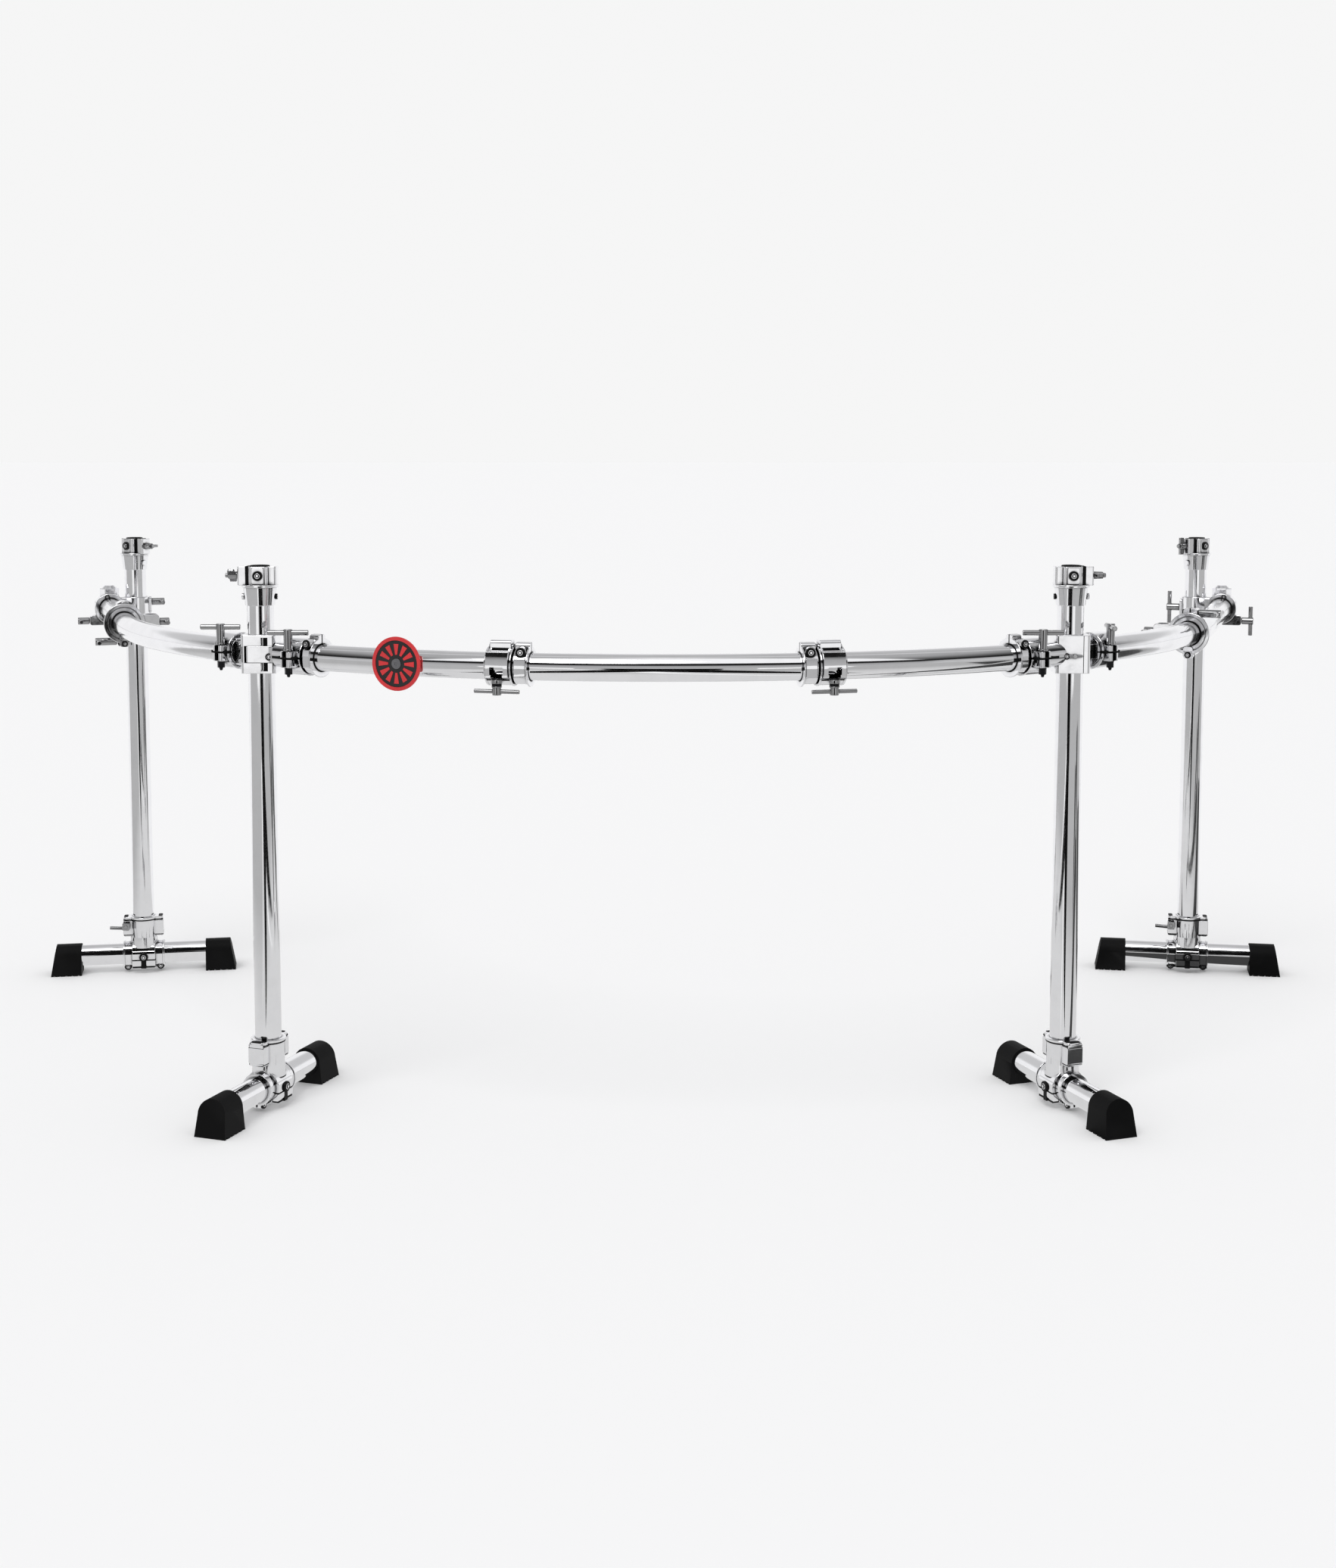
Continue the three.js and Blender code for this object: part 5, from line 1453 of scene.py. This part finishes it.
for upright, row, hand, post_place, leg_place in uprights:
    name = f"{upright}_leg"
    dressed(copied(leg, leg_place), f"{name}_clamp", cast_chrome, name, f"{name}_casting")
    # This object holds only the painted shade strips of the leg.
    dressed(copied(leg_shade_lines, leg_place), f"{name}_painted_shade_lines", black_nylon_and_shade, name)
    screws = []
    for side in (-1, 1):
        toward = (0, side, 0)
        screws.append(facing(leg_place, (0, side * saddle_face, leg_key_height), toward, leg_key))
        for end in (-1, 1):
            screw_at = (end * lug_screw_along, side * leg_lug_half, lug_screw_height)
            screws.append(facing(leg_place, screw_at, toward, lug_screw))
    add_key_screws(name, name, *screws)
put_away(leg, leg_shade_lines)

# The lever bolt of each foot clamp is a square nut with a short rod in its side, turned by
# hand, on a threaded shaft that pulls the two ears of the sleeve together.
lever_along, lever_height = 30.5, 87
lever_half, lever_depth, lever_gap = 6.5, 13, 0.3
lever_rod_radius, lever_rod_length, lever_rod_offset, lever_rod_drop = 3.2, 28, 3, 3.4
lever_bolt_radius, lever_bolt_proud = 3.4, 1.2
lever_rises = {"front": math.radians(80), "rear": math.radians(4)}
lever = fused(
    rounded_block(
        (-lever_half, -lever_half, lever_gap), (lever_half, lever_half, lever_depth), edge=0.9, corner=1.6,
    ),
    bar_x(
        0, lever_rod_length, lever_rod_radius, y=lever_rod_offset, z=lever_depth - lever_rod_drop, edge=1,
    ),
    bar_z(lever_depth - 2, lever_depth + lever_bolt_proud, lever_bolt_radius, edge=0.6),
    bar_z(-9, 2, lever_bolt_radius, edge=0),
)
for upright, row, hand, post_place, leg_place in uprights:
    ear = 1 if row == "rear" and hand < 0 else -1
    face = hand if row == "front" else -hand
    rise = lever_rises[row]
    spin = -face * (rise if ear > 0 else math.pi - rise)
    seat = shifted(ear * lever_along, face * leg_ear_half, lever_height)
    lever_place = leg_place @ seat @ turned(-face * math.pi / 2, "X") @ turned(spin)
    name = f"{upright}_leg_lever"
    dressed(copied(lever, lever_place), f"{name}_nut", handle_chrome, name, name)
put_away(lever)

# A foot tube lies across under each post, cut from the same plated tube. Rubber feet close
# both of its ends.
lying = shifted(-foot_half, 0, foot_height) @ turned(math.pi / 2, "Y")
for upright, row, hand, post_place, leg_place in uprights:
    foot_tube = straight_tube(lying, (2 * foot_half, 0, 0), leg_place)
    dressed(foot_tube, f"{upright}_foot_pipe", tube_chrome, f"{upright}_leg", f"{upright}_foot_tube")

# The rubber feet are moulded caps with a domed back, a flat end that flares outward to the
# floor, rounded edges and short ribs underneath that grip the stage.
foot_dome_radius, foot_half_width = 22, 25
foot_inner, foot_outer_top, foot_outer_bottom = 110.5, 154.5, 164.5
foot_rib_count, foot_rib_depth, foot_rib_gap, foot_rib_round = 5, 3, 3.4, 1.2
foot_edge, foot_edge_angle = 3.2, 0.75
rubber_colour, rubber_worn = (0.0025, 0.0025, 0.0027, 1), (0.006, 0.006, 0.0063, 1)
rubber_shine = 0.12
rubber = moulded("rubber", rubber_colour, rubber_worn, 0.5, 0.72, 420, 0.06)
rubber.node_tree.nodes["Principled BSDF"].inputs["Specular IOR Level"].default_value = rubber_shine
foot_base = rounded_block(
    (foot_inner, -foot_half_width, 0), (foot_outer_bottom + 9, foot_half_width, foot_height), edge=0,
)
select_edges(foot_base, lambda first, second: min(first.z, second.z) > (foot_height - 1) * mm)
bpy.ops.transform.resize(value=(1, foot_dome_radius / foot_half_width, 1))
bpy.ops.object.mode_set(mode="OBJECT")
foot_dome = bar_x(foot_inner, foot_outer_bottom + 9, foot_dome_radius, z=foot_height, edge=0, sides=72)
foot = fused(foot_base, foot_dome)
flare = Vector((foot_height + foot_dome_radius, 0, foot_outer_bottom - foot_outer_top)).normalized()
end_cut = {
    "plane_co": (foot_outer_bottom * mm, 0, 0), "plane_no": flare, "clear_outer": True, "use_fill": True,
}
edited(foot, (bpy.ops.mesh.bisect, end_cut))
bevelled(foot, foot_edge, foot_edge_angle, segments=4)
foot_cutters = [bar_x(foot_inner - 9, foot_half + 0.3, post_bore, z=foot_height, edge=0, sides=64)]
rib_pitch = (foot_outer_bottom - foot_inner) / foot_rib_count
for rib in range(foot_rib_count):
    middle = foot_inner + (rib + 0.5) * rib_pitch
    foot_cutters.append(rounded_block(
        (middle - foot_rib_gap / 2, -40, -9), (middle + foot_rib_gap / 2, 40, foot_rib_depth),
        edge=0, corner=foot_rib_round, axis=1,
    ))
foot = drilled(foot, *foot_cutters)
for upright, row, hand, post_place, leg_place in uprights:
    for end, end_turn in [("outer", 0), ("inner", math.pi)]:
        name = f"{upright}_{end}_foot"
        dressed(copied(foot, leg_place @ turned(end_turn)), f"{name}_cap", rubber, f"{upright}_leg", name)
put_away(foot)

put_away(t_handle, t_nut, t_shaft, key_screw, screw_shade_ring)
